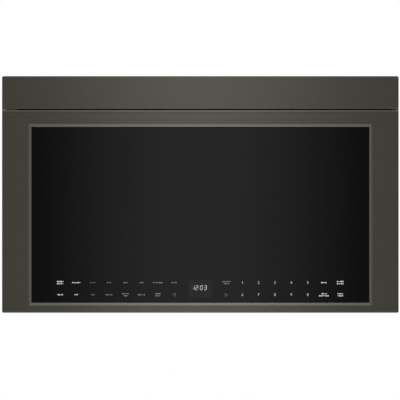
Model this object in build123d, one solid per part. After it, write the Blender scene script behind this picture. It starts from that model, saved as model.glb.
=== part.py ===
from build123d import *
import math
import os

os.makedirs("parts", exist_ok=True)

# An over-the-range microwave oven, flush front, hung on a wall plate above a cooktop.
# Millimetres. X to the right seen from the room, Y into the wall, Z up.
# Origin: centre of the wall plate's rear face. The front of the door lies at -DEPTH.

# ---------------------------------------------------------------- driving sizes
WIDTH = 759.0
HEIGHT = 453.0
DEPTH = 406.0
VENT_PANEL_HEIGHT = 63.0
LOUVRE_COUNT = 14
LOUVRE_PITCH = 48.0
LOUVRE_LENGTH = 40.0
LOUVRE_WIDTH = 5.0
LOUVRE_FRONT = 15.0
LOUVRE_ROW_PITCH = 12.0
DOOR_GAP = 2.1
DOOR_THICKNESS = 39.7
DOOR_STANDOFF = 1.8

SHEET = 0.8
WRAP_R = 1.0
CASE_INSET = 2.5
CASE_TOP_DROP = 2.5
BASE_RISE = 3.5
BASE_LIP = 14.0
SEAM = 0.2
RUNNING_FIT = 0.05
REST_GAP = 0.3

# door and its window
CORNER_R = 3.0
EDGE_R = 2.0
SKIRT_T = 1.6
FACE_T = 2.5
STILE = 51.1
RAIL_TOP = 27.0
RAIL_BOTTOM = 14.1
BEVEL = 5.4
GLASS_T = 4.0
GLASS_LAP = 4.0
PANEL_T = 1.2
PANEL_FLANGE = 12.0
CHOKE_R = 3.0
SCREEN_R = 6.0
INNER_GLASS_T = 3.0
SCREEN_T = 0.8
SCREEN_LAP = 10.0
WINDOW_MARGIN = 25.0
INNER_GLASS_LAP = 16.0
CHOKE_LAND = 4.0
CHOKE_WIDTH = 12.0
CHOKE_DEPTH = 19.0
CHOKE_COVER_T = 2.0

# touch controls behind the glass
KEY_BAND_RISE = 46.2
BOARD_SIDE = 84.5
BOARD_HEIGHT = 46.0
BOARD_T = 1.6
DISPLAY_WIDTH = 47.0
DISPLAY_HEIGHT = 34.8
DISPLAY_DEPTH = 7.5
DISPLAY_FLANGE = 5.0
DISPLAY_FLANGE_T = 2.0

# finger pocket under the door
PULL_SIDE = 84.5
PULL_WIDTH = 110.0
PULL_DEPTH = 20.0
PULL_HEIGHT = 21.5
PULL_FRONT = 14.0
PULL_R = 6.0

# hinges
HINGE_SIDE = 14.0
HINGE_BACK = 16.0
HINGE_PIN_R = 3.0
HINGE_PIN_LENGTH = 15.0
LEAF_T = 1.5
LEAF_LEFT = 5.0
LEAF_RIGHT = 15.0
LEAF_TAB_T = 2.0
LEAF_TAB_HEIGHT = 32.0
RELIEF_RIGHT = 18.0
RELIEF_BACK = 18.0
NOTCH_FRONT = 8.0
NOTCH_HEIGHT = 2.3
BUSH_LENGTH = 16.0
BUSH_WIDTH = 24.0
BUSH_DEPTH = 18.0
BUSH_R = 3.0
PIN_CLEARANCE_R = 4.5

# latch and interlock
LATCH_SIDE = 34.5
LATCH_UPPER_DROP = 101.4
LATCH_LOWER_RISE = 106.5
LATCH_TRAVEL = 3.0
LATCH_BAR_WIDTH = 12.0
LATCH_BAR_T = 10.0
LATCH_BAR_END = 15.0
LATCH_BAR_R = 2.0
LATCH_RIB_WALL = 2.0
LATCH_RIB_END = 30.0
HOOK_T = 4.0
HOOK_HEIGHT = 10.0
HOOK_REACH = 24.0
BARB_LENGTH = 7.0
BARB_DROP = 4.0
BARB_FLAT = 2.0
HOOK_NOSE = 3.0
CATCH_CLEAR = 0.5
CATCH_PLAY = 1.0
CATCH_HEIGHT = 6.5
SLOT_SIDE = 2.0
SLOT_SIDE_WIDE = 4.0
BRACKET_T = 3.0
BRACKET_WIDTH = 34.0
BRACKET_END = 32.0
SWITCH_WIDTH = 10.0
SWITCH_DEPTH = 16.0
SWITCH_HEIGHT = 28.0
SWITCH_STANDOFF = 3.7
TERMINAL_T = 0.8
TERMINAL_WIDTH = 6.0
PLUNGER_WIDTH = 3.0
PLUNGER_HEIGHT = 4.0
PLUNGER_LENGTH = 6.2
PLUNGER_TRAVEL = 1.5
SPRING_COIL_R = 3.0
SPRING_WIRE_R = 0.4
SPRING_LENGTH = 30.0
SPRING_TURNS = 6

# oven cavity
CAVITY_SIDE = 54.5
BAY_WIDTH = 224.5
CAVITY_RISE = 74.5
BLOWER_SPACE = 126.5
CAVITY_REAR = 24.5
CAVITY_R = 12.0
LINER_FLANGE = 8.0

# turntable
TRAY_WALL_GAP = 11.5
TRAY_T = 4.0
TRAY_RIM = 10.0
TRAY_SLOPE = 12.0
ROLLER_INSET = 50.0
ROLLER_R = 9.0
ROLLER_WIDTH = 8.0
ROLLER_COUNT = 3
RING_INSET = 11.0
RING_WIDTH = 6.0
RING_HEIGHT = 6.5
STUB_R = 2.0
STUB_SHOULDER_R = 3.2
STUB_HEAD_R = 2.9
STUB_HEAD_T = 1.5
HUB_R = 10.0
HUB_HOLE_R = 11.5
LOBE_R = 22.0
LOBE_WIDTH = 10.0
LOBE_T = 6.0
TRAY_LUG_R = 16.0
TRAY_LUG_SIZE = 6.0
TRAY_LUG_DROP = 5.0
HUB_STEM_R = 3.5
TURNTABLE_MOTOR_R = 25.0
TURNTABLE_MOTOR_H = 17.0
MOTOR_EAR_T = 1.5
MOTOR_EAR_REACH = 35.0
MOTOR_EAR_WIDTH = 16.0
MOTOR_SCREW_X = 30.0
MOTOR_SCREW_R = 2.2
MOTOR_SHAFT_SEAT = 13.0
HUB_STEM_LENGTH = 10.0
LOBE_EDGE_R = 3.0

# blower above the oven
DECK_T = 1.0
WHEEL_R = 40.0
WHEEL_WIDTH = 54.0
WHEEL_INNER_R = 32.0
WHEEL_HUB_R = 8.0
WHEEL_HUB_LENGTH = 12.0
BLADE_SWEEP = 4.0
BLADE_ROOT = 0.5
BLADE_COUNT = 26
BLADE_T = 0.8
WHEEL_RING_T = 2.0
SCROLL_T = 1.2
SCROLL_START_R = 43.5
SCROLL_END_R = 58.0
SCROLL_TONGUE_DEG = 70.0
SCROLL_SIDE_GAP = 4.0
SCROLL_INLET_R = 31.0
SCROLL_SHAFT_HOLE_R = 13.0
BLOWER_Y = -110.0
BLOWER_SHAFT_R = 4.0
BLOWER_MOTOR_R = 36.0
BLOWER_MOTOR_LENGTH = 76.0
BLOWER_HOUSING_GAP = 12.0
BLOWER_MOTOR_EDGE = 4.0
BLOWER_BOSS = 5.0
BLOWER_BOSS_R = 10.0
CRADLE_T = 2.0
CRADLE_WIDTH = 60.0
CRADLE_INSET = 10.0
CRADLE_RELIEF = 28.8

# exhaust
DUCT_WIDTH = 254.0
DUCT_DEPTH = 82.6
COLLAR_T = 1.2
COLLAR_HEIGHT = 20.0
COLLAR_FLANGE = 15.0
FLAP_T = 1.5
FLAP_GAP = 1.0
FLAP_PIN_R = 2.0
FLAP_STOP = 3.0
FLAP_PIN_INSET = 4.0

# underside
FILTER_MIDDLE = 46.0
FILTER_SIDE = 55.5
FILTER_FROM_FRONT = 121.8
FILTER_FROM_WALL = 138.4
FILTER_T = 9.0
FILTER_DROP = 1.0
FILTER_FRAME = 12.0
FILTER_MESH_INSET = 3.5
FILTER_EDGE_GAP = 0.8
FILTER_PIVOT_GAP = 3.0
FILTER_EDGE_BACK = 0.4
TONGUE_LENGTH = 7.0
TONGUE_T = 1.5
TONGUE_WIDTH = 30.0
TONGUE_LIFT = 0.5
TONGUE_INSET = 50.0
TAB_WIDTH = 30.0
TAB_DROP = 1.5
LAMP_CENTRE_X = 140.0
LAMP_FROM_FRONT = 77.0
LENS_WIDTH = 80.0
LENS_DEPTH = 34.0
LENS_R = 6.0
LENS_DROP = 1.0
LENS_LIP = 3.0
LENS_LIP_T = 1.5
LAMP_HOUSING_MARGIN = 10.0
LAMP_HOUSING_HEIGHT = 24.0
LAMP_WALL = 1.5
BULB_R = 6.0
BULB_CLEAR = 3.0
BULB_LENGTH = 40.0

# air plate under the oven and the wall beside the working parts
AIR_PLATE_DROP = 22.0
BAY_WALL_SIDE = 41.5
AIR_SLOT = 36.0
AIR_SLOT_FROM_FRONT = 86.0
AIR_SLOT_FROM_WALL = 60.0
AIR_SLOT_EDGE = 2.0
AIR_SLOT_OFF_OVEN = 4.0
BAY_WALL_FRONT = 30.0
INTAKE_COUNT = 7
INTAKE_PITCH = 12.0
INTAKE_WIDTH = 4.0
INTAKE_LENGTH = 34.0
INTAKE_SIDE = 95.0

# working parts beside the oven
GUIDE_THICKNESS = 38.0
GUIDE_LENGTH = 150.0
GUIDE_HEIGHT = 84.0
GUIDE_FROM_FRONT = 106.0
GUIDE_DROP = 50.0
APERTURE_LENGTH = 80.0
APERTURE_HEIGHT = 60.0
APERTURE_INSET = 5.0
MICA_T = 1.0
MICA_LAP = 8.0
MICA_R = 5.0
LAMP_PORT_FROM_BACK = 65.5
LAMP_PORT_DROP = 30.0
LAMP_PORT_SIZE = 30.0
LAMP_PORT_DEPTH = 26.0
PORT_HOLE_R = 1.5
PORT_PITCH = 5.0
PORT_ROWS = 4
STEAM_SLOT_COUNT = 5
STEAM_SLOT_PITCH = 8.0
STEAM_SLOT_WIDTH = 3.0
STEAM_SLOT_LENGTH = 44.0
MAGNETRON_FROM_GUIDE = 110.0
MAGNETRON_BODY = 70.0
MAGNETRON_LENGTH = 56.0
MAGNETRON_TUBE_R = 20.0
MAGNETRON_WALL = 2.0
MAGNETRON_EAR = 8.0
FILTER_BOX_LENGTH = 20.0
FILTER_BOX_WIDTH = 44.0
ANTENNA_R = 8.0
ANTENNA_LENGTH = 20.0
FIN_COUNT = 6
FIN_PITCH = 8.0
FIN_INSET = 4.0
FAN_R = 48.0
FAN_SIDE = 131.5
FAN_DROP = 112.0
FAN_PLATE_FROM_BACK = 37.5
FAN_PLATE_T = 1.5
FAN_PLATE_DROP = 34.0
FAN_TIP_GAP = 2.0
FAN_HUB_R = 12.0
FAN_SHAFT_R = 2.5
FAN_BLADE_WIDTH = 22.0
FAN_BLADE_T = 1.4
FAN_BLADE_PITCH = 28.0
FAN_BLADES = 5
FAN_DEPTH = 14.0
FAN_PLATE_SIDE = 4.0
FAN_RING_WALL = 2.0
FAN_ARMS = 3
FAN_ARM_WIDTH = 8.0
FAN_CORE_FROM_PLATE = 8.0
FAN_MOTOR_R = 20.0
FAN_MOTOR_LENGTH = 30.0
FAN_SHAFT_SEAT = 18.5
FAN_CORE = 60.0
FAN_CORE_HEIGHT = 40.0
FAN_CORE_DEPTH = 16.0
TRANSFORMER_SIDE = 139.5
TRANSFORMER_FROM_FRONT = 126.0
CORE_WIDTH = 100.0
CORE_DEPTH = 60.0
CORE_HEIGHT = 84.0
CORE_YOKE = 17.0
CORE_WINDOW = 20.0
CORE_LEG = 35.0
COIL_WIDTH = 74.0
COIL_DEPTH = 92.0
COIL_R = 14.0
PRIMARY_HEIGHT = 20.0
SECONDARY_HEIGHT = 22.0
COIL_GAP = 2.0
CORE_FOOT = 12.0
CORE_FOOT_T = 2.0
CAPACITOR_SIDE = 79.5
CAPACITOR_FROM_WALL = 170.0
CAPACITOR_WIDTH = 54.0
CAPACITOR_DEPTH = 34.0
CAPACITOR_HEIGHT = 88.0
CAPACITOR_TERMINAL = 10.0
POWER_BOARD_FROM_FRONT = 116.0
POWER_BOARD_LENGTH = 140.0
POWER_BOARD_RISE = 51.0
POWER_BOARD_DROP = 25.0
BOARD_MARGIN = 15.0
BOARD_POST = 8.0
BOARD_POST_R = 3.0
RELAY_COUNT = 3
RELAY_PITCH = 30.0
RELAY_LENGTH = 20.0
RELAY_WIDTH = 12.0
RELAY_HEIGHT = 15.4
SUPPLY_LENGTH = 40.0
SUPPLY_WIDTH = 35.0
SUPPLY_HEIGHT = 30.4

# wall plate and fixings
WALL_PLATE_T = 1.5
WALL_PLATE_SIDE = 29.5
WALL_PLATE_DROP = 186.5
WALL_PLATE_RISE = 14.5
WALL_PLATE_R = 6.0
WALL_WINDOW = 70.0
WALL_WINDOW_PITCH = 100.0
WALL_WINDOW_COUNT = 5
WALL_HOLE_SPACING_X = 609.6
WALL_HOLE_SPACING_Z = 110.0
WALL_HOLE_RISE = 101.5
WALL_HOLE_R = 3.5
HOOK_TAB_X = 200.0
HOOK_TAB_WIDTH = 30.0
HOOK_TAB_REACH = 11.0
HOOK_TAB_RISE = 12.0
HOOK_TAB_T = 2.0
HOOK_TAB_LIFT = 20.5
SCREW_RELIEF_R = 11.0
CABINET_BOLT_SPACING = 508.0
CABINET_BOLT_FROM_WALL = 229.0
CABINET_BOLT_R = 4.0
CORD_SIDE = 89.5
CORD_FROM_WALL = 60.0
CORD_HOLE_R = 14.0
CORD_BORE_R = 5.0
GLAND_HEAD = 2.0
GLAND_LENGTH = 9.0
GLAND_LIP = 3.0
RIB_COUNT = 3
RIB_LENGTH = 560.0
RIB_WIDTH = 16.0
RIB_PITCH = 48.0
RIB_DEPTH = 1.2
RIB_DROP = 76.0
CHARCOAL_WIDTH = 300.0
CHARCOAL_T = 15.0
CHARCOAL_EDGE = 6.0
CHARCOAL_LIP = 4.0
CHARCOAL_PROUD = 2.0

# ---------------------------------------------------------------- derived places
HALF_W = WIDTH / 2
TOP = HEIGHT / 2
BOTTOM = -HEIGHT / 2
FRONT = -DEPTH
DOOR_TOP = TOP - VENT_PANEL_HEIGHT - DOOR_GAP
DOOR_BACK = FRONT + DOOR_THICKNESS
PANEL_FRONT = DOOR_BACK - PANEL_T
PLATE_FRONT = DOOR_BACK + DOOR_STANDOFF
PLATE_BACK = PLATE_FRONT + SHEET
CASE_HALF = HALF_W - CASE_INSET
CASE_INNER = CASE_HALF - SHEET
CASE_TOP = TOP - CASE_TOP_DROP
BASE_BOTTOM = BOTTOM + BASE_RISE
BASE_TOP = BASE_BOTTOM + SHEET
BACK_FRONT = -WALL_PLATE_T - SHEET
GLASS_FRONT = FRONT + FACE_T
GLASS_BACK = GLASS_FRONT + GLASS_T
CAVITY_LEFT = -HALF_W + CAVITY_SIDE
CAVITY_RIGHT = HALF_W - BAY_WIDTH
CAVITY_BOTTOM = BOTTOM + CAVITY_RISE
CAVITY_TOP = TOP - BLOWER_SPACE
CAVITY_BACK = -CAVITY_REAR
CAVITY_X = (CAVITY_LEFT + CAVITY_RIGHT) / 2
CAVITY_Y = (PLATE_BACK + CAVITY_BACK) / 2
HINGE_X = -HALF_W + HINGE_SIDE
HINGE_Y = FRONT + HINGE_BACK
RELIEF_X = HINGE_X + RELIEF_RIGHT
RELIEF_Y = HINGE_Y + RELIEF_BACK
DECK_BOTTOM = CAVITY_TOP + SHEET
DECK_TOP = DECK_BOTTOM + DECK_T
AIR_PLATE_TOP = CAVITY_BOTTOM - AIR_PLATE_DROP
AIR_PLATE_BOTTOM = AIR_PLATE_TOP - SHEET
BAY_WALL_X = HALF_W - BAY_WALL_SIDE
KEY_BAND_Z = BOTTOM + KEY_BAND_RISE
PULL_X = HALF_W - PULL_SIDE
LATCH_X = HALF_W - LATCH_SIDE
LATCH_UPPER_Z = DOOR_TOP - LATCH_UPPER_DROP
LATCH_LOWER_Z = BOTTOM + LATCH_LOWER_RISE
LATCH_BAR_BACK = PANEL_FRONT - REST_GAP
HOOK_TIP = LATCH_BAR_BACK + HOOK_REACH
LATCH_ZS = (LATCH_UPPER_Z, LATCH_LOWER_Z)
TRAY_R = (CAVITY_BACK - PLATE_BACK) / 2 - TRAY_WALL_GAP
ROLLER_TRACK_R = TRAY_R - ROLLER_INSET
RING_R = ROLLER_TRACK_R - RING_INSET
FILTER_FRONT = FRONT + FILTER_FROM_FRONT
FILTER_BACK = -FILTER_FROM_WALL
FILTER_WIDTH = HALF_W - FILTER_SIDE - FILTER_MIDDLE
FILTER_CENTRE_X = FILTER_MIDDLE + FILTER_WIDTH / 2
LAMP_CENTRE_Y = FRONT + LAMP_FROM_FRONT
GUIDE_FRONT = FRONT + GUIDE_FROM_FRONT
GUIDE_Z = CAVITY_TOP - GUIDE_DROP
APERTURE_FRONT = GUIDE_FRONT + APERTURE_INSET
LAMP_PORT_Y = CAVITY_BACK - LAMP_PORT_FROM_BACK
LAMP_PORT_Z = CAVITY_TOP - LAMP_PORT_DROP
MAGNETRON_Y = GUIDE_FRONT + MAGNETRON_FROM_GUIDE
FAN_X = HALF_W - FAN_SIDE
FAN_Z = CAVITY_TOP - FAN_DROP
FAN_PLATE_Y = CAVITY_BACK - FAN_PLATE_FROM_BACK
TRANSFORMER_X = HALF_W - TRANSFORMER_SIDE
TRANSFORMER_Y = FRONT + TRANSFORMER_FROM_FRONT
CAPACITOR_X = HALF_W - CAPACITOR_SIDE
CAPACITOR_Y = -CAPACITOR_FROM_WALL
POWER_BOARD_FRONT = FRONT + POWER_BOARD_FROM_FRONT
WALL_PLATE_TOP = TOP - WALL_PLATE_DROP
WALL_PLATE_BOTTOM = BOTTOM + WALL_PLATE_RISE
WALL_HOLE_Z = BOTTOM + WALL_HOLE_RISE
HOOK_TAB_Z = BOTTOM + HOOK_TAB_LIFT
CORD_X = HALF_W - CORD_SIDE
CORD_Y = -CORD_FROM_WALL
CABINET_BOLT_Y = -CABINET_BOLT_FROM_WALL


# ---------------------------------------------------------------- shared shapes
def block(x0, x1, y0, y1, z0, z1):
    """A box between two corners."""
    return Pos((x0 + x1) / 2, (y0 + y1) / 2, (z0 + z1) / 2) * Box(x1 - x0, y1 - y0, z1 - z0)


def bar(x, z, width, height, front, back):
    """A box centred on x and z, reaching from front to back."""
    return Pos(x, (front + back) / 2, z) * Box(width, back - front, height)


def upright(x, y, width, depth, low, high):
    """A box centred on x and y, reaching from low to high."""
    return Pos(x, y, (low + high) / 2) * Box(width, depth, high - low)


def rect(x0, x1, z0, z1, radius=0.0):
    """A rectangle between two corners, with rounded corners if a radius is given."""
    outline = Rectangle(x1 - x0, z1 - z0)
    if radius > 0:
        outline = RectangleRounded(x1 - x0, z1 - z0, radius)
    return Pos((x0 + x1) / 2, (z0 + z1) / 2) * outline


def slab(face, front, back):
    """A face drawn in X and Z, given thickness from front to back."""
    return extrude(Plane.XZ.offset(-back) * face, amount=back - front)


def plate(face, low, high):
    """A face drawn in X and Y, given thickness from low to high."""
    return extrude(Plane.XY.offset(low) * face, amount=high - low)


def along_x(face, left, right):
    """A face drawn in Y and Z, given thickness from left to right."""
    return extrude(Plane.YZ.offset(left) * face, amount=right - left)


def pin_z(x, y, radius, low, high):
    return Pos(x, y, (low + high) / 2) * Cylinder(radius, high - low)


def pin_y(x, z, radius, front, back):
    return Pos(x, (front + back) / 2, z) * Rot(90, 0, 0) * Cylinder(radius, back - front)


def pin_x(y, z, radius, left, right):
    return Pos((left + right) / 2, y, z) * Rot(0, 90, 0) * Cylinder(radius, right - left)


def save(shape, name):
    shape.label = name
    export_step(shape, f"parts/{name}.step")


# ---------------------------------------------------------------- door
def glass_opening(grow):
    """The visible glass, grown by a margin."""
    left = -HALF_W + STILE + BEVEL - grow
    low = BOTTOM + RAIL_BOTTOM + BEVEL - grow
    high = DOOR_TOP - RAIL_TOP - BEVEL + grow
    return rect(left, -left, low, high, 0.5 + grow / 4)


def pull_pocket(grow):
    """The finger pocket in the door's lower edge."""
    front = FRONT + PULL_FRONT - grow
    pocket = block(
        PULL_X - PULL_WIDTH / 2 - grow,
        PULL_X + PULL_WIDTH / 2 + grow,
        front,
        front + PULL_DEPTH + 2 * grow,
        BOTTOM - 1 + grow,
        BOTTOM + PULL_HEIGHT + grow,
    )
    return fillet(pocket.faces().sort_by(Axis.Z)[-1].edges(), PULL_R + grow)


def door_frame():
    outer = slab(rect(-HALF_W, HALF_W, BOTTOM, DOOR_TOP, CORNER_R), FRONT, PANEL_FRONT)
    outer = fillet(outer.faces().sort_by(Axis.Y)[0].edges(), EDGE_R)
    hollow = slab(
        rect(-HALF_W + SKIRT_T, HALF_W - SKIRT_T, BOTTOM + SKIRT_T, DOOR_TOP - SKIRT_T, CORNER_R - SKIRT_T),
        GLASS_FRONT,
        PANEL_FRONT + 1,
    )
    opening = loft(
        [
            Plane.XZ.offset(-FRONT) * glass_opening(BEVEL),
            Plane.XZ.offset(-GLASS_FRONT) * glass_opening(0),
        ]
    )
    frame = outer - hollow - opening
    pocket_wall = pull_pocket(SKIRT_T) & block(-HALF_W, HALF_W, FRONT, 0, BOTTOM + SKIRT_T, TOP)
    frame = frame + pocket_wall - pull_pocket(0)
    relief = block(-HALF_W - 1, RELIEF_X, RELIEF_Y, 0, BOTTOM - 1, TOP)
    notch = block(-HALF_W - 1, RELIEF_X, HINGE_Y - NOTCH_FRONT, 0, BOTTOM - 1, BOTTOM + NOTCH_HEIGHT)
    pin_hole = pin_z(HINGE_X, HINGE_Y, PIN_CLEARANCE_R, DOOR_TOP - SKIRT_T - 1, DOOR_TOP + 1)
    return frame - relief - notch - pin_hole


def door_glass():
    return slab(glass_opening(GLASS_LAP), GLASS_FRONT, GLASS_BACK)


def cavity_rect(grow, radius=0.0):
    """The oven's mouth, grown by a margin."""
    return rect(CAVITY_LEFT - grow, CAVITY_RIGHT + grow, CAVITY_BOTTOM - grow, CAVITY_TOP + grow, radius)


def latch_slot(z, side, front, back):
    """The slot that a latch hook passes through."""
    low = z - HOOK_HEIGHT / 2 - BARB_DROP - LATCH_TRAVEL - 1
    high = z + HOOK_HEIGHT / 2 + 1.5
    reach = HOOK_T / 2 + side
    return block(LATCH_X - reach, LATCH_X + reach, front, back, low, high)


def door_inner_panel():
    left = RELIEF_X
    right = HALF_W - SKIRT_T / 2
    low = BOTTOM + SKIRT_T / 2
    high = DOOR_TOP - SKIRT_T / 2
    body = slab(rect(left, right, low, high), PANEL_FRONT, DOOR_BACK)
    flange_front = PANEL_FRONT - PANEL_FLANGE
    flange_end = BUSH_LENGTH + PANEL_T
    body += block(left, left + PANEL_T, flange_front, PANEL_FRONT, low + flange_end, high - flange_end)
    choke_front = DOOR_BACK - CHOKE_DEPTH
    ring = slab(cavity_rect(CHOKE_LAND + CHOKE_WIDTH + SHEET), choke_front, DOOR_BACK)
    body = body + ring - slab(cavity_rect(CHOKE_LAND - SHEET), choke_front - 1, PANEL_FRONT)
    channel = slab(cavity_rect(CHOKE_LAND + CHOKE_WIDTH, CHOKE_R), choke_front + SHEET, DOOR_BACK + 1)
    channel -= slab(cavity_rect(CHOKE_LAND, CHOKE_R), choke_front, DOOR_BACK + 1)
    body -= channel
    pocket = INNER_GLASS_LAP - WINDOW_MARGIN + REST_GAP
    pocket_front = DOOR_BACK - INNER_GLASS_T - SEAM
    body += slab(cavity_rect(pocket + PANEL_T), pocket_front - PANEL_T, PANEL_FRONT)
    body -= slab(cavity_rect(pocket), pocket_front, DOOR_BACK + 1)
    body -= slab(cavity_rect(-WINDOW_MARGIN, SCREEN_R), pocket_front - PANEL_T - 1, DOOR_BACK)
    for z in LATCH_ZS:
        body -= latch_slot(z, SLOT_SIDE, PANEL_FRONT - 1, DOOR_BACK + 1)
    anchor = spring_low() - REST_GAP
    anchor_front = PANEL_FRONT - REST_GAP - LATCH_BAR_T
    return body + bar(LATCH_X, anchor - PANEL_T / 2, LATCH_BAR_WIDTH, PANEL_T, anchor_front, PANEL_FRONT)


def choke_cover():
    outer = CHOKE_LAND + CHOKE_WIDTH - SEAM
    ring = cavity_rect(outer, CHOKE_R) - cavity_rect(CHOKE_LAND + SEAM, CHOKE_R)
    return slab(ring, DOOR_BACK - CHOKE_COVER_T, DOOR_BACK)


def door_screen():
    back = DOOR_BACK - INNER_GLASS_T - SEAM - PANEL_T
    return slab(cavity_rect(SCREEN_LAP - WINDOW_MARGIN), back - SCREEN_T, back)


def door_inner_glass():
    face = cavity_rect(INNER_GLASS_LAP - WINDOW_MARGIN)
    return slab(face, DOOR_BACK - INNER_GLASS_T - SEAM, DOOR_BACK - SEAM)


def display_rect(grow):
    half = DISPLAY_WIDTH / 2 + grow
    low = KEY_BAND_Z - DISPLAY_HEIGHT / 2 - grow
    return rect(-half, half, low, KEY_BAND_Z + DISPLAY_HEIGHT / 2 + grow)


def touch_board():
    half = HALF_W - BOARD_SIDE
    face = rect(-half, half, KEY_BAND_Z - BOARD_HEIGHT / 2, KEY_BAND_Z + BOARD_HEIGHT / 2)
    return slab(face - display_rect(SEAM), GLASS_BACK, GLASS_BACK + BOARD_T)


def display_module():
    body = slab(display_rect(0), GLASS_BACK, GLASS_BACK + DISPLAY_DEPTH)
    flange_front = GLASS_BACK + BOARD_T
    return body + slab(display_rect(DISPLAY_FLANGE), flange_front, flange_front + DISPLAY_FLANGE_T)


def hinge_bush(low, high):
    left = -HALF_W + SKIRT_T
    body = block(left, left + BUSH_WIDTH, HINGE_Y - BUSH_DEPTH / 2, HINGE_Y + BUSH_DEPTH / 2, low, high)
    body = chamfer(body.edges().filter_by(Axis.Z), BUSH_R)
    body = chamfer(body.faces().filter_by(Axis.Z).edges(), CORNER_R - SKIRT_T)
    return body - pin_z(HINGE_X, HINGE_Y, HINGE_PIN_R + RUNNING_FIT, low - 1, high + 1)


def door_hinge_bushes():
    top = DOOR_TOP - SKIRT_T
    low = BOTTOM + NOTCH_HEIGHT
    return Compound(children=[hinge_bush(top - BUSH_LENGTH, top), hinge_bush(low, low + BUSH_LENGTH)])


def hinge_leaf(leaf_low, pin_low, pin_high, tab_low, tab_high):
    """A leaf with its pin and the tab that screws to the oven's front plate."""
    front = HINGE_Y - LEAF_LEFT
    left = HINGE_X - LEAF_LEFT
    right = HINGE_X + LEAF_RIGHT
    leaf = block(left, right, front, PLATE_FRONT, leaf_low, leaf_low + LEAF_T)
    leaf = fillet(leaf.edges().filter_by(Axis.Z).group_by(Axis.Y)[0], LEAF_LEFT - 0.5)
    leaf += pin_z(HINGE_X, HINGE_Y, HINGE_PIN_R, pin_low, pin_high)
    leaf += block(left, right, PLATE_FRONT - LEAF_TAB_T, PLATE_FRONT, tab_low, tab_high)
    return leaf


def hinge_upper():
    low = DOOR_TOP + (DOOR_GAP - LEAF_T) / 2
    return hinge_leaf(low, low - HINGE_PIN_LENGTH, low, low - LEAF_TAB_HEIGHT, low)


def hinge_lower():
    low = BOTTOM + REST_GAP
    high = low + LEAF_T
    return hinge_leaf(low, high, high + HINGE_PIN_LENGTH, high, high + LEAF_TAB_HEIGHT)


# ---------------------------------------------------------------- latch and interlock
def hook(z):
    """One latch hook: a shank with a barb under its tip."""
    low = z - HOOK_HEIGHT / 2
    high = z + HOOK_HEIGHT / 2
    barb_front = HOOK_TIP - BARB_LENGTH
    side = Polyline(
        (LATCH_BAR_BACK - 1, low),
        (barb_front, low),
        (barb_front, low - BARB_DROP),
        (barb_front + BARB_FLAT, low - BARB_DROP),
        (HOOK_TIP, low + BARB_FLAT / 2),
        (HOOK_TIP, high - HOOK_NOSE),
        (HOOK_TIP - HOOK_NOSE, high),
        (LATCH_BAR_BACK - 1, high),
        close=True,
    )
    return along_x(make_face(side), LATCH_X - HOOK_T / 2, LATCH_X + HOOK_T / 2)


def latch_hooks():
    low = LATCH_LOWER_Z - LATCH_BAR_END
    high = LATCH_UPPER_Z + LATCH_BAR_END
    half = LATCH_BAR_WIDTH / 2
    front = LATCH_BAR_BACK - LATCH_BAR_T
    body = block(LATCH_X - half, LATCH_X + half, front, LATCH_BAR_BACK, low, high)
    body = fillet(body.edges().filter_by(Axis.Z), LATCH_BAR_R)
    inside = half - LATCH_RIB_WALL
    hollow_back = LATCH_BAR_BACK - LATCH_RIB_WALL
    hollow_low = low + LATCH_RIB_END
    hollow_high = high - LATCH_RIB_END
    body -= block(LATCH_X - inside, LATCH_X + inside, front - 1, hollow_back, hollow_low, hollow_high)
    for z in LATCH_ZS:
        body += hook(z)
    return body


def spring_low():
    """The spring's lower end, where it hooks on the inner panel's lug."""
    return LATCH_LOWER_Z - LATCH_BAR_END - REST_GAP - 2 * SPRING_WIRE_R - SPRING_LENGTH


def latch_spring():
    """An extension spring that pulls the latch bar down."""
    path = Helix(pitch=SPRING_LENGTH / SPRING_TURNS, height=SPRING_LENGTH, radius=SPRING_COIL_R)
    wire = sweep(Plane(origin=path @ 0, z_dir=path % 0) * RegularPolygon(SPRING_WIRE_R, 4), path=path)
    return Pos(LATCH_X, LATCH_BAR_BACK - LATCH_BAR_T / 2, spring_low() + SPRING_WIRE_R) * wire


def interlock_bracket():
    """The moulded carrier behind the front plate, with a catch and a switch seat for each hook."""
    low = LATCH_LOWER_Z - BRACKET_END
    high = LATCH_UPPER_Z + BRACKET_END
    half = BRACKET_WIDTH / 2
    base_back = PLATE_BACK + BRACKET_T
    body = block(LATCH_X - half, LATCH_X + half, PLATE_BACK, base_back, low, high)
    wall = LATCH_X + SWITCH_WIDTH / 2
    body += block(wall, wall + BRACKET_T, base_back, HOOK_TIP + SWITCH_STANDOFF + SWITCH_DEPTH, low, high)
    catch_back = HOOK_TIP - BARB_LENGTH - CATCH_PLAY
    for z in LATCH_ZS:
        body -= latch_slot(z, SLOT_SIDE_WIDE, PLATE_BACK - 1, base_back + 1)
        top = z - HOOK_HEIGHT / 2 - BARB_DROP - CATCH_CLEAR
        body += block(LATCH_X - SLOT_SIDE_WIDE, wall + 1, PLATE_BACK, catch_back, top - CATCH_HEIGHT, top)
    return body


def switch_body(z):
    front = HOOK_TIP + SWITCH_STANDOFF
    back = front + SWITCH_DEPTH
    body = bar(LATCH_X, z, SWITCH_WIDTH, SWITCH_HEIGHT, front, back)
    depth = REST_GAP + PLUNGER_LENGTH - SWITCH_STANDOFF + PLUNGER_TRAVEL + 1
    body -= bar(LATCH_X, z, PLUNGER_WIDTH + 2 * SEAM, PLUNGER_HEIGHT + 2 * SEAM, front - 1, front + depth)
    for offset in (-SWITCH_HEIGHT / 4, SWITCH_HEIGHT / 4):
        body += bar(LATCH_X, z + offset, TERMINAL_T, TERMINAL_WIDTH, back, back + TERMINAL_WIDTH)
    return body


def switch_plunger(z):
    front = HOOK_TIP + REST_GAP
    return bar(LATCH_X, z, PLUNGER_WIDTH, PLUNGER_HEIGHT, front, front + PLUNGER_LENGTH)


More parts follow.
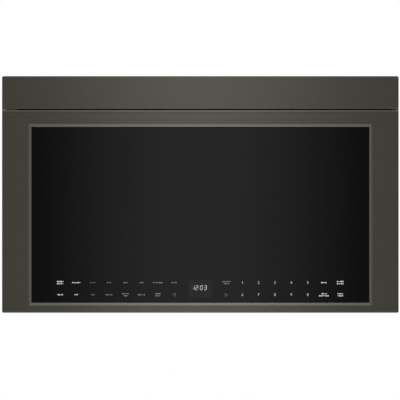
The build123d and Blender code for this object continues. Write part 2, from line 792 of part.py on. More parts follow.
# ---------------------------------------------------------------- case
def front_plate():
    side = CASE_INNER - SEAM
    face = rect(-side, side, BASE_TOP + SEAM, CASE_TOP - SHEET - SEAM, WRAP_R) - cavity_rect(0, CAVITY_R)
    body = slab(face, PLATE_FRONT, PLATE_BACK)
    for z in LATCH_ZS:
        body -= latch_slot(z, SLOT_SIDE_WIDE, PLATE_FRONT - 1, PLATE_BACK + 1)
    return body - slab(charcoal_rect(SEAM), PLATE_FRONT - 1, PLATE_BACK + 1)


def case_wrap():
    """The outer wrap: both sides and the top, folded from one sheet."""
    face = rect(-CASE_HALF, CASE_HALF, BASE_BOTTOM, CASE_TOP, WRAP_R + SHEET)
    inner = rect(-CASE_INNER, CASE_INNER, BASE_BOTTOM - 5, CASE_TOP - SHEET, WRAP_R)
    low_edge = rect(-CASE_HALF - 1, CASE_HALF + 1, BASE_BOTTOM - 6, BASE_BOTTOM)
    square_foot = rect(-CASE_HALF, CASE_HALF, BASE_BOTTOM, 0)
    body = slab(face + square_foot - inner - low_edge, PLATE_FRONT, BACK_FRONT)
    duct_y = duct_centre_y()
    margin = COLLAR_T + SEAM
    width = DUCT_WIDTH + 2 * margin
    body -= upright(0, duct_y, width, DUCT_DEPTH + 2 * margin, CASE_TOP - 5, CASE_TOP + 5)
    for x in (-CABINET_BOLT_SPACING / 2, CABINET_BOLT_SPACING / 2):
        body -= pin_z(x, CABINET_BOLT_Y, CABINET_BOLT_R, CASE_TOP - 5, CASE_TOP + 5)
    return body - pin_z(CORD_X, CORD_Y, CORD_HOLE_R, CASE_TOP - 5, CASE_TOP + 5)


def base_pan():
    side = CASE_INNER - SEAM
    back = BACK_FRONT - SEAM
    body = block(-side, side, PLATE_BACK, back, BASE_BOTTOM, BASE_TOP)
    lip = block(side - SHEET, side, PLATE_BACK, back, BASE_TOP, BASE_TOP + BASE_LIP)
    body += lip
    body += mirror(lip, Plane.YZ)
    body += block(-side, side, PLATE_BACK, PLATE_BACK + SHEET, BASE_TOP, BASE_TOP + BASE_LIP)
    for sign in (-1, 1):
        body -= filter_opening(sign)
        body -= plate(lens_rect(sign, SEAM), BASE_BOTTOM - 1, BASE_TOP + 1)
        body -= intake_slots(sign)
    return body


def intake_slots(sign):
    """The row of slots at each front corner that lets cooling air in."""
    centre = sign * (HALF_W - INTAKE_SIDE)
    row = GridLocations(INTAKE_PITCH, 1, INTAKE_COUNT, 1)
    slot = Pos(centre, LAMP_CENTRE_Y) * Rectangle(INTAKE_WIDTH, INTAKE_LENGTH)
    face = Sketch() + [spot * slot for spot in row]
    return plate(face, BASE_BOTTOM - 1, BASE_TOP + 1)


def back_panel():
    body = slab(rect(-CASE_HALF, CASE_HALF, BASE_BOTTOM, CASE_TOP, WRAP_R + SHEET), BACK_FRONT, -WALL_PLATE_T)
    for i in range(RIB_COUNT):
        z = WALL_PLATE_TOP + RIB_DROP + i * RIB_PITCH
        body += bar(0, z, RIB_LENGTH, RIB_WIDTH, BACK_FRONT - RIB_DEPTH, BACK_FRONT)
        body -= bar(0, z, RIB_LENGTH - 2 * SHEET, RIB_WIDTH - 2 * SHEET, BACK_FRONT - RIB_DEPTH + SHEET, 0)
    for x in (-1, 1):
        body -= block(
            x * HOOK_TAB_X - HOOK_TAB_WIDTH / 2 - 1,
            x * HOOK_TAB_X + HOOK_TAB_WIDTH / 2 + 1,
            BACK_FRONT - 1,
            0,
            HOOK_TAB_Z - HOOK_TAB_RISE,
            HOOK_TAB_Z + HOOK_TAB_T + REST_GAP,
        )
    for x, z in wall_holes():
        body -= pin_y(x, z, SCREW_RELIEF_R, BACK_FRONT - 1, 0)
    return body


def wall_holes():
    dx = WALL_HOLE_SPACING_X / 2
    dz = WALL_HOLE_SPACING_Z / 2
    return [(x, WALL_HOLE_Z + z) for x in (-dx, dx) for z in (-dz, dz)]


def wall_plate():
    half = HALF_W - WALL_PLATE_SIDE
    face = rect(-half, half, WALL_PLATE_BOTTOM, WALL_PLATE_TOP, WALL_PLATE_R)
    row = GridLocations(WALL_WINDOW_PITCH, 1, WALL_WINDOW_COUNT, 1)
    face -= [Pos(0, WALL_HOLE_Z) * spot * Rectangle(WALL_WINDOW, WALL_WINDOW) for spot in row]
    body = slab(face, -WALL_PLATE_T, 0)
    for x, z in wall_holes():
        body -= pin_y(x, z, WALL_HOLE_R, -WALL_PLATE_T - 1, 1)
    for sign in (-1, 1):
        left = sign * HOOK_TAB_X - HOOK_TAB_WIDTH / 2
        right = left + HOOK_TAB_WIDTH
        tip = -WALL_PLATE_T - HOOK_TAB_REACH
        body += block(left, right, tip, -WALL_PLATE_T, HOOK_TAB_Z, HOOK_TAB_Z + HOOK_TAB_T)
        body += block(left, right, tip, tip + HOOK_TAB_T, HOOK_TAB_Z, HOOK_TAB_Z + HOOK_TAB_RISE)
    return body


def vent_panel():
    """The panel above the door, with outlet louvres in its top."""
    low = TOP - VENT_PANEL_HEIGHT
    body = slab(rect(-HALF_W, HALF_W, low, TOP, CORNER_R), FRONT, PLATE_FRONT)
    body = fillet(body.faces().sort_by(Axis.Y)[0].edges(), EDGE_R)
    inner = rect(-HALF_W + SKIRT_T, HALF_W - SKIRT_T, low + SKIRT_T, TOP - SKIRT_T, CORNER_R - SKIRT_T)
    body -= slab(inner, GLASS_FRONT, PLATE_FRONT + 1)
    rows = Pos(0, FRONT + LOUVRE_FRONT + LOUVRE_ROW_PITCH / 2)
    spots = GridLocations(LOUVRE_PITCH, LOUVRE_ROW_PITCH, LOUVRE_COUNT, 2)
    face = Sketch() + [rows * spot * Rectangle(LOUVRE_LENGTH, LOUVRE_WIDTH) for spot in spots]
    return body - plate(face, TOP - SKIRT_T - 1, TOP + 1)


def charcoal_rect(grow):
    half = CHARCOAL_WIDTH / 2 + grow
    low = TOP - VENT_PANEL_HEIGHT + CHARCOAL_EDGE - grow
    return rect(-half, half, low, CASE_TOP - SHEET - CHARCOAL_EDGE + grow)


def charcoal_filter():
    front = PLATE_FRONT - CHARCOAL_PROUD
    body = slab(charcoal_rect(0), front, front + CHARCOAL_T)
    return body + slab(charcoal_rect(CHARCOAL_LIP), front, PLATE_FRONT)


# ---------------------------------------------------------------- oven
def oven_solid(grow):
    return slab(cavity_rect(grow, CAVITY_R + grow), PLATE_BACK, CAVITY_BACK + grow)


def guide_aperture(depth):
    low = GUIDE_Z - APERTURE_HEIGHT / 2
    back = APERTURE_FRONT + APERTURE_LENGTH
    return block(CAVITY_RIGHT - depth, CAVITY_RIGHT + depth, APERTURE_FRONT, back, low, low + APERTURE_HEIGHT)


def lamp_perforations():
    spots = GridLocations(PORT_PITCH, PORT_PITCH, PORT_ROWS, PORT_ROWS)
    face = Sketch() + [Pos(LAMP_PORT_Y, LAMP_PORT_Z) * spot * Circle(PORT_HOLE_R) for spot in spots]
    return along_x(face, CAVITY_RIGHT - 2, CAVITY_RIGHT + 2)


def oven_liner():
    flange = slab(cavity_rect(LINER_FLANGE, CAVITY_R + LINER_FLANGE), PLATE_BACK, PLATE_BACK + SHEET)
    body = oven_solid(SHEET) + flange - oven_solid(0)
    body -= pin_z(CAVITY_X, CAVITY_Y, HUB_HOLE_R, CAVITY_BOTTOM - 5, CAVITY_BOTTOM + 5)
    return body - guide_aperture(5) - lamp_perforations() - steam_slots()


def steam_slots():
    """The slots high in the oven's left wall that let steam out."""
    spots = GridLocations(1, STEAM_SLOT_PITCH, 1, STEAM_SLOT_COUNT)
    slot = Rectangle(STEAM_SLOT_LENGTH, STEAM_SLOT_WIDTH)
    face = Sketch() + [Pos(LAMP_PORT_Y, LAMP_PORT_Z) * spot * slot for spot in spots]
    return along_x(face, CAVITY_LEFT - 2, CAVITY_LEFT + 2)


def waveguide_cover():
    """The mica sheet over the aperture in the oven's right wall."""
    length = APERTURE_LENGTH + 2 * MICA_LAP
    height = APERTURE_HEIGHT + 2 * MICA_LAP
    centre_y = APERTURE_FRONT + APERTURE_LENGTH / 2
    face = Pos(centre_y, GUIDE_Z) * RectangleRounded(length, height, MICA_R)
    return along_x(face, CAVITY_RIGHT - MICA_T, CAVITY_RIGHT)


def oven_lamp():
    left = CAVITY_RIGHT + SHEET
    right = left + LAMP_PORT_DEPTH
    inside = LAMP_PORT_SIZE - 2 * LAMP_WALL
    spot = Pos(LAMP_PORT_Y, LAMP_PORT_Z)
    box = along_x(spot * Rectangle(LAMP_PORT_SIZE, LAMP_PORT_SIZE), left, right)
    box -= along_x(spot * Rectangle(inside, inside), left - 1, right - LAMP_WALL)
    return box + pin_x(LAMP_PORT_Y, LAMP_PORT_Z, BULB_R - 1, left + 8, right - 1)


# ---------------------------------------------------------------- turntable
ROLLER_Z = CAVITY_BOTTOM + REST_GAP + ROLLER_R
TRAY_BOTTOM = ROLLER_Z + ROLLER_R + REST_GAP


def turned(shape, degrees):
    """The shape turned about the turntable's axis."""
    return Pos(CAVITY_X, CAVITY_Y, 0) * Rot(0, 0, degrees) * Pos(-CAVITY_X, -CAVITY_Y, 0) * shape


def turntable_motor():
    top = CAVITY_BOTTOM - SHEET
    low = top - TURNTABLE_MOTOR_H
    body = pin_z(CAVITY_X, CAVITY_Y, TURNTABLE_MOTOR_R, low, top)
    body += upright(CAVITY_X, CAVITY_Y, 2 * MOTOR_EAR_REACH, MOTOR_EAR_WIDTH, top - MOTOR_EAR_T, top)
    for x in (CAVITY_X - MOTOR_SCREW_X, CAVITY_X + MOTOR_SCREW_X):
        body -= pin_z(x, CAVITY_Y, MOTOR_SCREW_R, top - 2 * MOTOR_EAR_T, top + 1)
    seat = HUB_STEM_R + RUNNING_FIT
    return body - pin_z(CAVITY_X, CAVITY_Y, seat, top - MOTOR_SHAFT_SEAT, top + 1)


def turntable_hub():
    top = TRAY_BOTTOM - REST_GAP
    low = CAVITY_BOTTOM - SHEET + REST_GAP
    body = pin_z(CAVITY_X, CAVITY_Y, HUB_R, low, top)
    body += pin_z(CAVITY_X, CAVITY_Y, HUB_STEM_R, low - HUB_STEM_LENGTH, low)
    for i in range(3):
        lobe = upright(CAVITY_X + LOBE_R / 2, CAVITY_Y, LOBE_R, LOBE_WIDTH, top - LOBE_T, top)
        lobe = fillet(lobe.edges().filter_by(Axis.Z).group_by(Axis.X)[-1], LOBE_EDGE_R)
        body += turned(lobe, 90 + 120 * i)
    return body


def glass_tray():
    section = Polyline(
        (0, TRAY_BOTTOM),
        (TRAY_R - TRAY_SLOPE, TRAY_BOTTOM),
        (TRAY_R, TRAY_BOTTOM + TRAY_RIM),
        (TRAY_R, TRAY_BOTTOM + TRAY_RIM + TRAY_T),
        (TRAY_R - TRAY_SLOPE - 1, TRAY_BOTTOM + TRAY_T),
        (0, TRAY_BOTTOM + TRAY_T),
        close=True,
    )
    tray = revolve(Plane.XZ * make_face(section), Axis.Z)
    tray = Pos(CAVITY_X, CAVITY_Y, 0) * tray
    for i in range(3):
        low = TRAY_BOTTOM - TRAY_LUG_DROP
        lug = upright(CAVITY_X + TRAY_LUG_R, CAVITY_Y, TRAY_LUG_SIZE, TRAY_LUG_SIZE, low, TRAY_BOTTOM + 1)
        tray += turned(lug, 30 + 120 * i)
    return tray


def roller_stub():
    """The pin that a roller turns on, with its retaining head."""
    root = CAVITY_X + RING_R
    inner = CAVITY_X + ROLLER_TRACK_R - ROLLER_WIDTH / 2 - REST_GAP
    outer = CAVITY_X + ROLLER_TRACK_R + ROLLER_WIDTH / 2 + REST_GAP
    stub = pin_x(CAVITY_Y, ROLLER_Z, STUB_R, root, outer)
    stub += pin_x(CAVITY_Y, ROLLER_Z, STUB_SHOULDER_R, root, inner)
    return stub + pin_x(CAVITY_Y, ROLLER_Z, STUB_HEAD_R, outer, outer + STUB_HEAD_T)


def roller_ring():
    low = ROLLER_Z - RING_HEIGHT / 2
    ring = plate(Circle(RING_R + RING_WIDTH / 2) - Circle(RING_R - RING_WIDTH / 2), low, low + RING_HEIGHT)
    ring = Pos(CAVITY_X, CAVITY_Y, 0) * ring
    for i in range(ROLLER_COUNT):
        ring += turned(roller_stub(), 360 / ROLLER_COUNT * i)
    return ring


def roller_wheel(index):
    left = CAVITY_X + ROLLER_TRACK_R - ROLLER_WIDTH / 2
    wheel = pin_x(CAVITY_Y, ROLLER_Z, ROLLER_R, left, left + ROLLER_WIDTH)
    wheel = chamfer(wheel.edges().filter_by(GeomType.CIRCLE), 1)
    wheel -= pin_x(CAVITY_Y, ROLLER_Z, STUB_R + RUNNING_FIT, left - 1, left + ROLLER_WIDTH + 1)
    return turned(wheel, 360 / ROLLER_COUNT * index)


# ---------------------------------------------------------------- blower and exhaust
def scroll_radius(degrees, extra):
    """The scroll's radius, which grows steadily from the tongue to the outlet."""
    share = (degrees - SCROLL_TONGUE_DEG) / (360 - SCROLL_TONGUE_DEG)
    return SCROLL_START_R + (SCROLL_END_R - SCROLL_START_R) * share + extra


BLOWER_Z = DECK_TOP + REST_GAP + scroll_radius(270, SCROLL_T)
OUTLET_TOP = CASE_TOP - COLLAR_HEIGHT
HOUSING_INNER_X = BLOWER_MOTOR_LENGTH / 2 + BLOWER_HOUSING_GAP
HOUSING_OUTER_X = HOUSING_INNER_X + WHEEL_WIDTH + 2 * (SCROLL_SIDE_GAP + SCROLL_T)
WHEEL_X = (HOUSING_INNER_X + HOUSING_OUTER_X) / 2


def duct_centre_y():
    tongue = SCROLL_START_R * math.cos(math.radians(SCROLL_TONGUE_DEG))
    return BLOWER_Y + (tongue + SCROLL_END_R) / 2


def scroll_face(extra, outlet_top):
    """The scroll's outline in Y and Z: four arcs and a straight throat."""

    def point(degrees):
        radius = scroll_radius(degrees, extra)
        angle = math.radians(degrees)
        return (BLOWER_Y + radius * math.cos(angle), BLOWER_Z + radius * math.sin(angle))

    steps = 4
    span = (360 - SCROLL_TONGUE_DEG) / steps
    edges = []
    for i in range(steps):
        start = SCROLL_TONGUE_DEG + i * span
        edges.append(ThreePointArc(point(start), point(start + span / 2), point(start + span)))
    tongue = point(SCROLL_TONGUE_DEG)
    rear = point(360)
    throat_front = (tongue[0] - extra, outlet_top)
    edges.append(Polyline(rear, (rear[0], outlet_top), throat_front, tongue))
    return make_face(edges)


def blower_housing(sign):
    inner = HOUSING_INNER_X
    outer = HOUSING_OUTER_X
    body = along_x(scroll_face(SCROLL_T, OUTLET_TOP), inner, outer)
    body -= along_x(scroll_face(0, OUTLET_TOP + 5), inner + SCROLL_T, outer - SCROLL_T)
    body -= pin_x(BLOWER_Y, BLOWER_Z, SCROLL_INLET_R, outer - 3, outer + 3)
    body -= pin_x(BLOWER_Y, BLOWER_Z, SCROLL_SHAFT_HOLE_R, inner - 3, inner + 3)
    return body if sign > 0 else mirror(body, Plane.YZ)


def blade_face():
    """One forward-curved blade's section, between the wheel's inner and outer radius."""
    start = (WHEEL_INNER_R, 0)
    end = (WHEEL_R - 1, BLADE_SWEEP)
    middle = ((WHEEL_INNER_R + WHEEL_R) / 2 + 0.5, 0.15 * BLADE_SWEEP)
    back_start = (WHEEL_INNER_R, BLADE_T)
    back_end = (WHEEL_R - 1 - BLADE_T / 2, BLADE_SWEEP + BLADE_T)
    back_middle = (middle[0] - BLADE_T / 3, middle[1] + BLADE_T)
    return make_face(
        [
            ThreePointArc(start, middle, end),
            Line(end, back_end),
            ThreePointArc(back_end, back_middle, back_start),
            Line(back_start, start),
        ]
    )


def blower_wheel(sign):
    """A drum of forward-curved blades between a back disc and an end ring."""
    left = WHEEL_X - WHEEL_WIDTH / 2
    right = left + WHEEL_WIDTH
    disc_right = left + WHEEL_RING_T
    wheel = along_x(Circle(WHEEL_R), left, disc_right)
    hub_end = disc_right + WHEEL_HUB_LENGTH
    wheel += along_x(Circle(WHEEL_HUB_R), disc_right, hub_end)
    wheel += along_x(Circle(WHEEL_R) - Circle(WHEEL_INNER_R), right - WHEEL_RING_T, right)
    blade = along_x(blade_face(), disc_right - BLADE_ROOT, right - WHEEL_RING_T + BLADE_ROOT)
    blades = [Rot(360 / BLADE_COUNT * i, 0, 0) * blade for i in range(BLADE_COUNT)]
    wheel = wheel.fuse(*blades)
    wheel -= along_x(Circle(BLOWER_SHAFT_R + RUNNING_FIT), left - 1, hub_end + 1)
    wheel = Pos(0, BLOWER_Y, BLOWER_Z) * wheel
    return wheel if sign > 0 else mirror(wheel, Plane.YZ)


def blower_shaft():
    reach = WHEEL_X - WHEEL_WIDTH / 2 + WHEEL_RING_T + WHEEL_HUB_LENGTH
    return pin_x(BLOWER_Y, BLOWER_Z, BLOWER_SHAFT_R, -reach, reach)


def blower_motor():
    half = BLOWER_MOTOR_LENGTH / 2
    body = pin_x(BLOWER_Y, BLOWER_Z, BLOWER_MOTOR_R, -half, half)
    body = chamfer(body.edges().filter_by(GeomType.CIRCLE), BLOWER_MOTOR_EDGE)
    boss_end = half + BLOWER_BOSS
    body += pin_x(BLOWER_Y, BLOWER_Z, BLOWER_BOSS_R, -boss_end, boss_end)
    cradle_half = half - CRADLE_INSET
    cradle_top = BLOWER_Z - CRADLE_RELIEF
    for x in (-cradle_half + CRADLE_T / 2, cradle_half - CRADLE_T / 2):
        body += upright(x, BLOWER_Y, CRADLE_T, CRADLE_WIDTH, DECK_TOP, cradle_top)
    body += upright(0, BLOWER_Y, 2 * cradle_half, CRADLE_WIDTH, DECK_TOP, DECK_TOP + CRADLE_T)
    return body - pin_x(BLOWER_Y, BLOWER_Z, BLOWER_SHAFT_R + RUNNING_FIT, -boss_end - 1, boss_end + 1)


def blower_deck():
    side = CASE_INNER - SEAM
    deck = block(-side, side, PLATE_BACK + SHEET, BACK_FRONT - SEAM, DECK_BOTTOM, DECK_TOP)
    return deck - air_slots(DECK_BOTTOM - 1, DECK_TOP + 1)


def air_slots(low, high):
    """The long slots beside the oven that air rises through."""
    left_end = CAVITY_LEFT - SHEET - AIR_SLOT_OFF_OVEN
    right_start = BAY_WALL_X + AIR_SLOT_EDGE
    right_end = CASE_INNER - SEAM - AIR_SLOT_EDGE
    front = FRONT + AIR_SLOT_FROM_FRONT
    left = block(left_end - AIR_SLOT, left_end, front, -AIR_SLOT_FROM_WALL, low, high)
    return left + block(right_start, right_end, front, -AIR_SLOT_FROM_WALL, low, high)


def exhaust_adapter():
    """A rectangular collar for the house duct, with a flange on the case's top."""
    centre = duct_centre_y()

    def ring(grow, hole):
        face = Pos(0, centre) * Rectangle(DUCT_WIDTH + 2 * grow, DUCT_DEPTH + 2 * grow)
        return face - Pos(0, centre) * Rectangle(DUCT_WIDTH + 2 * hole, DUCT_DEPTH + 2 * hole)

    body = plate(ring(COLLAR_T, 0), OUTLET_TOP, CASE_TOP + SHEET)
    body += plate(ring(COLLAR_FLANGE, 0), CASE_TOP, CASE_TOP + SHEET)
    y, z = flap_axis()
    stop_top = z - FLAP_T / 2 - REST_GAP
    back = centre + DUCT_DEPTH / 2
    body += upright(0, back - FLAP_STOP / 2, DUCT_WIDTH, FLAP_STOP, stop_top - COLLAR_T, stop_top)
    return body - pin_x(y, z, FLAP_PIN_R + RUNNING_FIT * 2, -DUCT_WIDTH, DUCT_WIDTH)


def flap_axis():
    return duct_centre_y() - DUCT_DEPTH / 2 + FLAP_PIN_INSET, CASE_TOP - COLLAR_HEIGHT / 2


def damper_flap():
    y, z = flap_axis()
    half = DUCT_WIDTH / 2 - FLAP_GAP
    back = duct_centre_y() + DUCT_DEPTH / 2 - FLAP_GAP
    flap = block(-half, half, y, back, z - FLAP_T / 2, z + FLAP_T / 2)
    return flap + pin_x(y, z, FLAP_PIN_R, -DUCT_WIDTH / 2 - COLLAR_T, DUCT_WIDTH / 2 + COLLAR_T)


def cord_gland():
    top = CASE_TOP + GLAND_HEAD
    low = top - GLAND_LENGTH
    gland = pin_z(CORD_X, CORD_Y, CORD_HOLE_R + GLAND_LIP, CASE_TOP, top)
    gland += pin_z(CORD_X, CORD_Y, CORD_HOLE_R - SEAM, low, CASE_TOP)
    gland += pin_z(CORD_X, CORD_Y, CORD_HOLE_R + GLAND_LIP, low, CASE_TOP - SHEET)
    return gland - pin_z(CORD_X, CORD_Y, CORD_BORE_R, low - 1, top + 1)


# ---------------------------------------------------------------- underside
PIVOT_Y = FILTER_BACK + FILTER_PIVOT_GAP
PIVOT_Z = BASE_TOP + TONGUE_LIFT


def filter_span(sign):
    centre = sign * FILTER_CENTRE_X
    return centre - FILTER_WIDTH / 2, centre + FILTER_WIDTH / 2


def filter_opening(sign):
    left, right = filter_span(sign)
    gap = FILTER_EDGE_GAP
    back = PIVOT_Y + FILTER_EDGE_BACK
    return block(left - gap, right + gap, FILTER_FRONT - gap, back, BASE_BOTTOM - 1, BASE_TOP + 1)


def grease_filter(sign):
    """A framed mesh filter with two tongues that hook over the base's edge."""
    left, right = filter_span(sign)
    low = BASE_BOTTOM - FILTER_DROP
    high = low + FILTER_T
    body = block(left, right, FILTER_FRONT, FILTER_BACK, low, high)
    body = fillet(body.edges().filter_by(Axis.Z), 4)
    f = FILTER_FRAME
    for z0, z1 in ((low - 1, low + FILTER_MESH_INSET), (high - FILTER_MESH_INSET, high + 1)):
        body -= block(left + f, right - f, FILTER_FRONT + f, FILTER_BACK - f, z0, z1)
    for x in (left + TONGUE_INSET, right - TONGUE_INSET):
        top = PIVOT_Z + TONGUE_T
        body += bar(x, (PIVOT_Z + top) / 2, TONGUE_WIDTH, TONGUE_T, FILTER_BACK - 2, PIVOT_Y + TONGUE_LENGTH)
    front = FILTER_FRONT + 1
    return body + bar((left + right) / 2, low, TAB_WIDTH, 2 * TAB_DROP, front, front + f - 1)


def lens_rect(sign, grow):
    outline = RectangleRounded(LENS_WIDTH + 2 * grow, LENS_DEPTH + 2 * grow, LENS_R)
    return Pos(sign * LAMP_CENTRE_X, LAMP_CENTRE_Y) * outline


def lamp_lens(sign):
    body = plate(lens_rect(sign, 0), BASE_BOTTOM - LENS_DROP, BASE_TOP)
    return body + plate(lens_rect(sign, LENS_LIP), BASE_TOP, BASE_TOP + LENS_LIP_T)


def cooktop_lamp(sign):
    """A lamp housing on the base, with its reflector well and tube bulb."""
    m = LAMP_HOUSING_MARGIN
    high = BASE_TOP + LAMP_HOUSING_HEIGHT
    well = m - LAMP_WALL - 2
    body = plate(lens_rect(sign, m), BASE_TOP, high)
    body -= plate(lens_rect(sign, well), BASE_TOP - 1, high - LAMP_WALL)
    bulb_z = high - LAMP_WALL - BULB_R - BULB_CLEAR
    start = sign * LAMP_CENTRE_X - LENS_WIDTH / 2 - well
    return body + pin_x(LAMP_CENTRE_Y, bulb_z, BULB_R, start - LAMP_WALL / 3, start + BULB_LENGTH)


def air_plate():
    """The plate under the oven, folded up at the right to part the working parts from the air way."""
    side = CASE_INNER - SEAM
    back = BACK_FRONT - SEAM
    front = PLATE_BACK + SHEET
    body = block(-side, side, front, back, AIR_PLATE_BOTTOM, AIR_PLATE_TOP)
    wall_front = front + BAY_WALL_FRONT
    body += block(BAY_WALL_X, BAY_WALL_X + SHEET, wall_front, back, AIR_PLATE_TOP, DECK_BOTTOM)
    return body - air_slots(AIR_PLATE_BOTTOM - 1, AIR_PLATE_TOP + 1)


# ---------------------------------------------------------------- working parts
def waveguide():
    left = CAVITY_RIGHT + SHEET
    right = left + GUIDE_THICKNESS
    low = GUIDE_Z - GUIDE_HEIGHT / 2
    high = low + GUIDE_HEIGHT
    back = GUIDE_FRONT + GUIDE_LENGTH
    body = block(left, right, GUIDE_FRONT, back, low, high)
    body -= block(left - 1, right - SHEET, GUIDE_FRONT + SHEET, back - SHEET, low + SHEET, high - SHEET)
    return body - pin_x(MAGNETRON_Y, GUIDE_Z, ANTENNA_R + 2, right - 3, right + 3)


def magnetron():
    """The magnetron: mounting flange, frame, cooling fins, antenna and filament box."""
    left = CAVITY_RIGHT + SHEET + GUIDE_THICKNESS
    right = left + MAGNETRON_LENGTH
    half = MAGNETRON_BODY / 2
    y0 = MAGNETRON_Y - half
    y1 = MAGNETRON_Y + half
    z0 = GUIDE_Z - half
    z1 = GUIDE_Z + half
    wall = MAGNETRON_WALL
    body = block(left, left + wall, y0 - MAGNETRON_EAR, y1 + wall, z0, z1)
    body += pin_x(MAGNETRON_Y, GUIDE_Z, ANTENNA_R, left - ANTENNA_LENGTH, left)
    body += pin_x(MAGNETRON_Y, GUIDE_Z, MAGNETRON_TUBE_R, left, right + wall)
    for i in range(FIN_COUNT):
        x = left + FIN_PITCH * (i + 1)
        body += block(x, x + SHEET, y0, y1, z0 + FIN_INSET, z1 - FIN_INSET)
    body += block(left, right, y0, y1, z0, z0 + wall)
    body += block(left, right, y0, y1, z1 - wall, z1)
    box_front = MAGNETRON_Y - FILTER_BOX_WIDTH / 2
    box_back = MAGNETRON_Y + FILTER_BOX_WIDTH / 2
    return body + block(right, right + FILTER_BOX_LENGTH, box_front, box_back, z0, z1)


def hv_transformer():
    """A laminated core with two coils on its middle leg."""
    x = TRANSFORMER_X
    y = TRANSFORMER_Y
    low = AIR_PLATE_TOP
    core = upright(x, y, CORE_WIDTH, CORE_DEPTH, low, low + CORE_HEIGHT)
    window_low = low + CORE_YOKE
    window_high = low + CORE_HEIGHT - CORE_YOKE
    offset = (CORE_LEG + CORE_WINDOW) / 2
    for centre in (x - offset, x + offset):
        core -= upright(centre, y, CORE_WINDOW, CORE_DEPTH + 2, window_low, window_high)
    coil = Pos(x, y) * RectangleRounded(COIL_WIDTH, COIL_DEPTH, COIL_R)
    primary_low = window_low + COIL_GAP
    secondary_high = window_high - COIL_GAP
    core += plate(coil, primary_low, primary_low + PRIMARY_HEIGHT)
    core += plate(coil, secondary_high - SECONDARY_HEIGHT, secondary_high)
    return core + upright(x, y, CORE_WIDTH + 2 * CORE_FOOT, CORE_DEPTH, low, low + CORE_FOOT_T)


def capacitor():
    low = AIR_PLATE_TOP
    can = Pos(CAPACITOR_X, CAPACITOR_Y) * SlotOverall(CAPACITOR_WIDTH, CAPACITOR_DEPTH)
    high = low + CAPACITOR_HEIGHT
    top = high + CAPACITOR_TERMINAL
    body = plate(can, low, high)
    spread = CAPACITOR_WIDTH / 4
    for x in (CAPACITOR_X - spread, CAPACITOR_X + spread):
        body += upright(x, CAPACITOR_Y, TERMINAL_WIDTH, TERMINAL_T, high, top)
    return body


def cooling_fan_frame():
    """An upright plate with a shroud ring for the cooling fan."""
    left = CAVITY_RIGHT + SHEET + FAN_PLATE_SIDE
    y = FAN_PLATE_Y
    back = y + FAN_PLATE_T
    bore = FAN_R + FAN_TIP_GAP
    body = block(left, BAY_WALL_X, y, back, AIR_PLATE_TOP, CAVITY_TOP - FAN_PLATE_DROP)
    body += slab(Pos(FAN_X, FAN_Z) * Circle(bore + FAN_RING_WALL), y - FAN_DEPTH, y)
    body -= slab(Pos(FAN_X, FAN_Z) * Circle(bore), y - FAN_DEPTH - 1, back + 1)
    for i in range(FAN_ARMS):
        arm = block(0, bore + FAN_RING_WALL, y, back, -FAN_ARM_WIDTH / 2, FAN_ARM_WIDTH / 2)
        body += Pos(FAN_X, 0, FAN_Z) * Rot(0, 90 + 360 / FAN_ARMS * i, 0) * arm
    return body - slab(Pos(FAN_X, FAN_Z) * Circle(2 * FAN_SHAFT_R), y - 1, back + 1)


def cooling_fan_motor():
    front = FAN_PLATE_Y + FAN_PLATE_T
    back = front + FAN_MOTOR_LENGTH
    body = slab(Pos(FAN_X, FAN_Z) * Circle(FAN_MOTOR_R), front, back)
    core_front = front + FAN_CORE_FROM_PLATE
    body += bar(FAN_X, FAN_Z, FAN_CORE, FAN_CORE_HEIGHT, core_front, core_front + FAN_CORE_DEPTH)
    bore = Pos(FAN_X, FAN_Z) * Circle(FAN_SHAFT_R + RUNNING_FIT)
    return body - slab(bore, front - 1, front + FAN_SHAFT_SEAT + 1)


def cooling_fan_blade():
    """An axial fan: a hub on its shaft and pitched blades."""
    centre = FAN_PLATE_Y - FAN_DEPTH / 2
    hub_half = FAN_DEPTH / 2 - 1
    hub = slab(Pos(FAN_X, FAN_Z) * Circle(FAN_HUB_R), centre - hub_half, centre + hub_half)
    shaft_back = FAN_PLATE_Y + FAN_PLATE_T + FAN_SHAFT_SEAT
    shaft = slab(Pos(FAN_X, FAN_Z) * Circle(FAN_SHAFT_R), centre, shaft_back)
    root = FAN_HUB_R - FAN_TIP_GAP
    tip = math.sqrt(FAN_R**2 - (FAN_BLADE_WIDTH / 2) ** 2)
    blade = Box(tip - root, FAN_BLADE_T, FAN_BLADE_WIDTH)
    blade = Pos((root + tip) / 2, 0, 0) * Rot(FAN_BLADE_PITCH, 0, 0) * blade
    body = hub + shaft
    for i in range(FAN_BLADES):
        body += Pos(FAN_X, centre, FAN_Z) * Rot(0, 360 / FAN_BLADES * i, 0) * blade
    return body


def power_board():
    """The relay and supply board on the wall beside the working parts."""
    back = BAY_WALL_X - BOARD_POST
    face = back - BOARD_T
    y0 = POWER_BOARD_FRONT
    y1 = y0 + POWER_BOARD_LENGTH
    z0 = AIR_PLATE_TOP + CAPACITOR_HEIGHT + POWER_BOARD_RISE
    z1 = CAVITY_TOP - POWER_BOARD_DROP
    body = block(face, back, y0, y1, z0, z1)
    inset = 2 * BOARD_POST_R
    for y in (y0 + inset, y1 - inset):
        for z in (z0 + inset, z1 - inset):
            body += pin_x(y, z, BOARD_POST_R, back, BAY_WALL_X)
    low = z0 + BOARD_MARGIN
    for i in range(RELAY_COUNT):
        start = y0 + BOARD_MARGIN + RELAY_PITCH * i
        body += block(face - RELAY_HEIGHT, face, start, start + RELAY_LENGTH, low, low + RELAY_WIDTH)
    supply_high = z1 - BOARD_MARGIN
    supply_back = y1 - BOARD_MARGIN
    supply_front = supply_back - SUPPLY_LENGTH
    return body + block(
        face - SUPPLY_HEIGHT, face, supply_front, supply_back, supply_high - SUPPLY_WIDTH, supply_high
    )


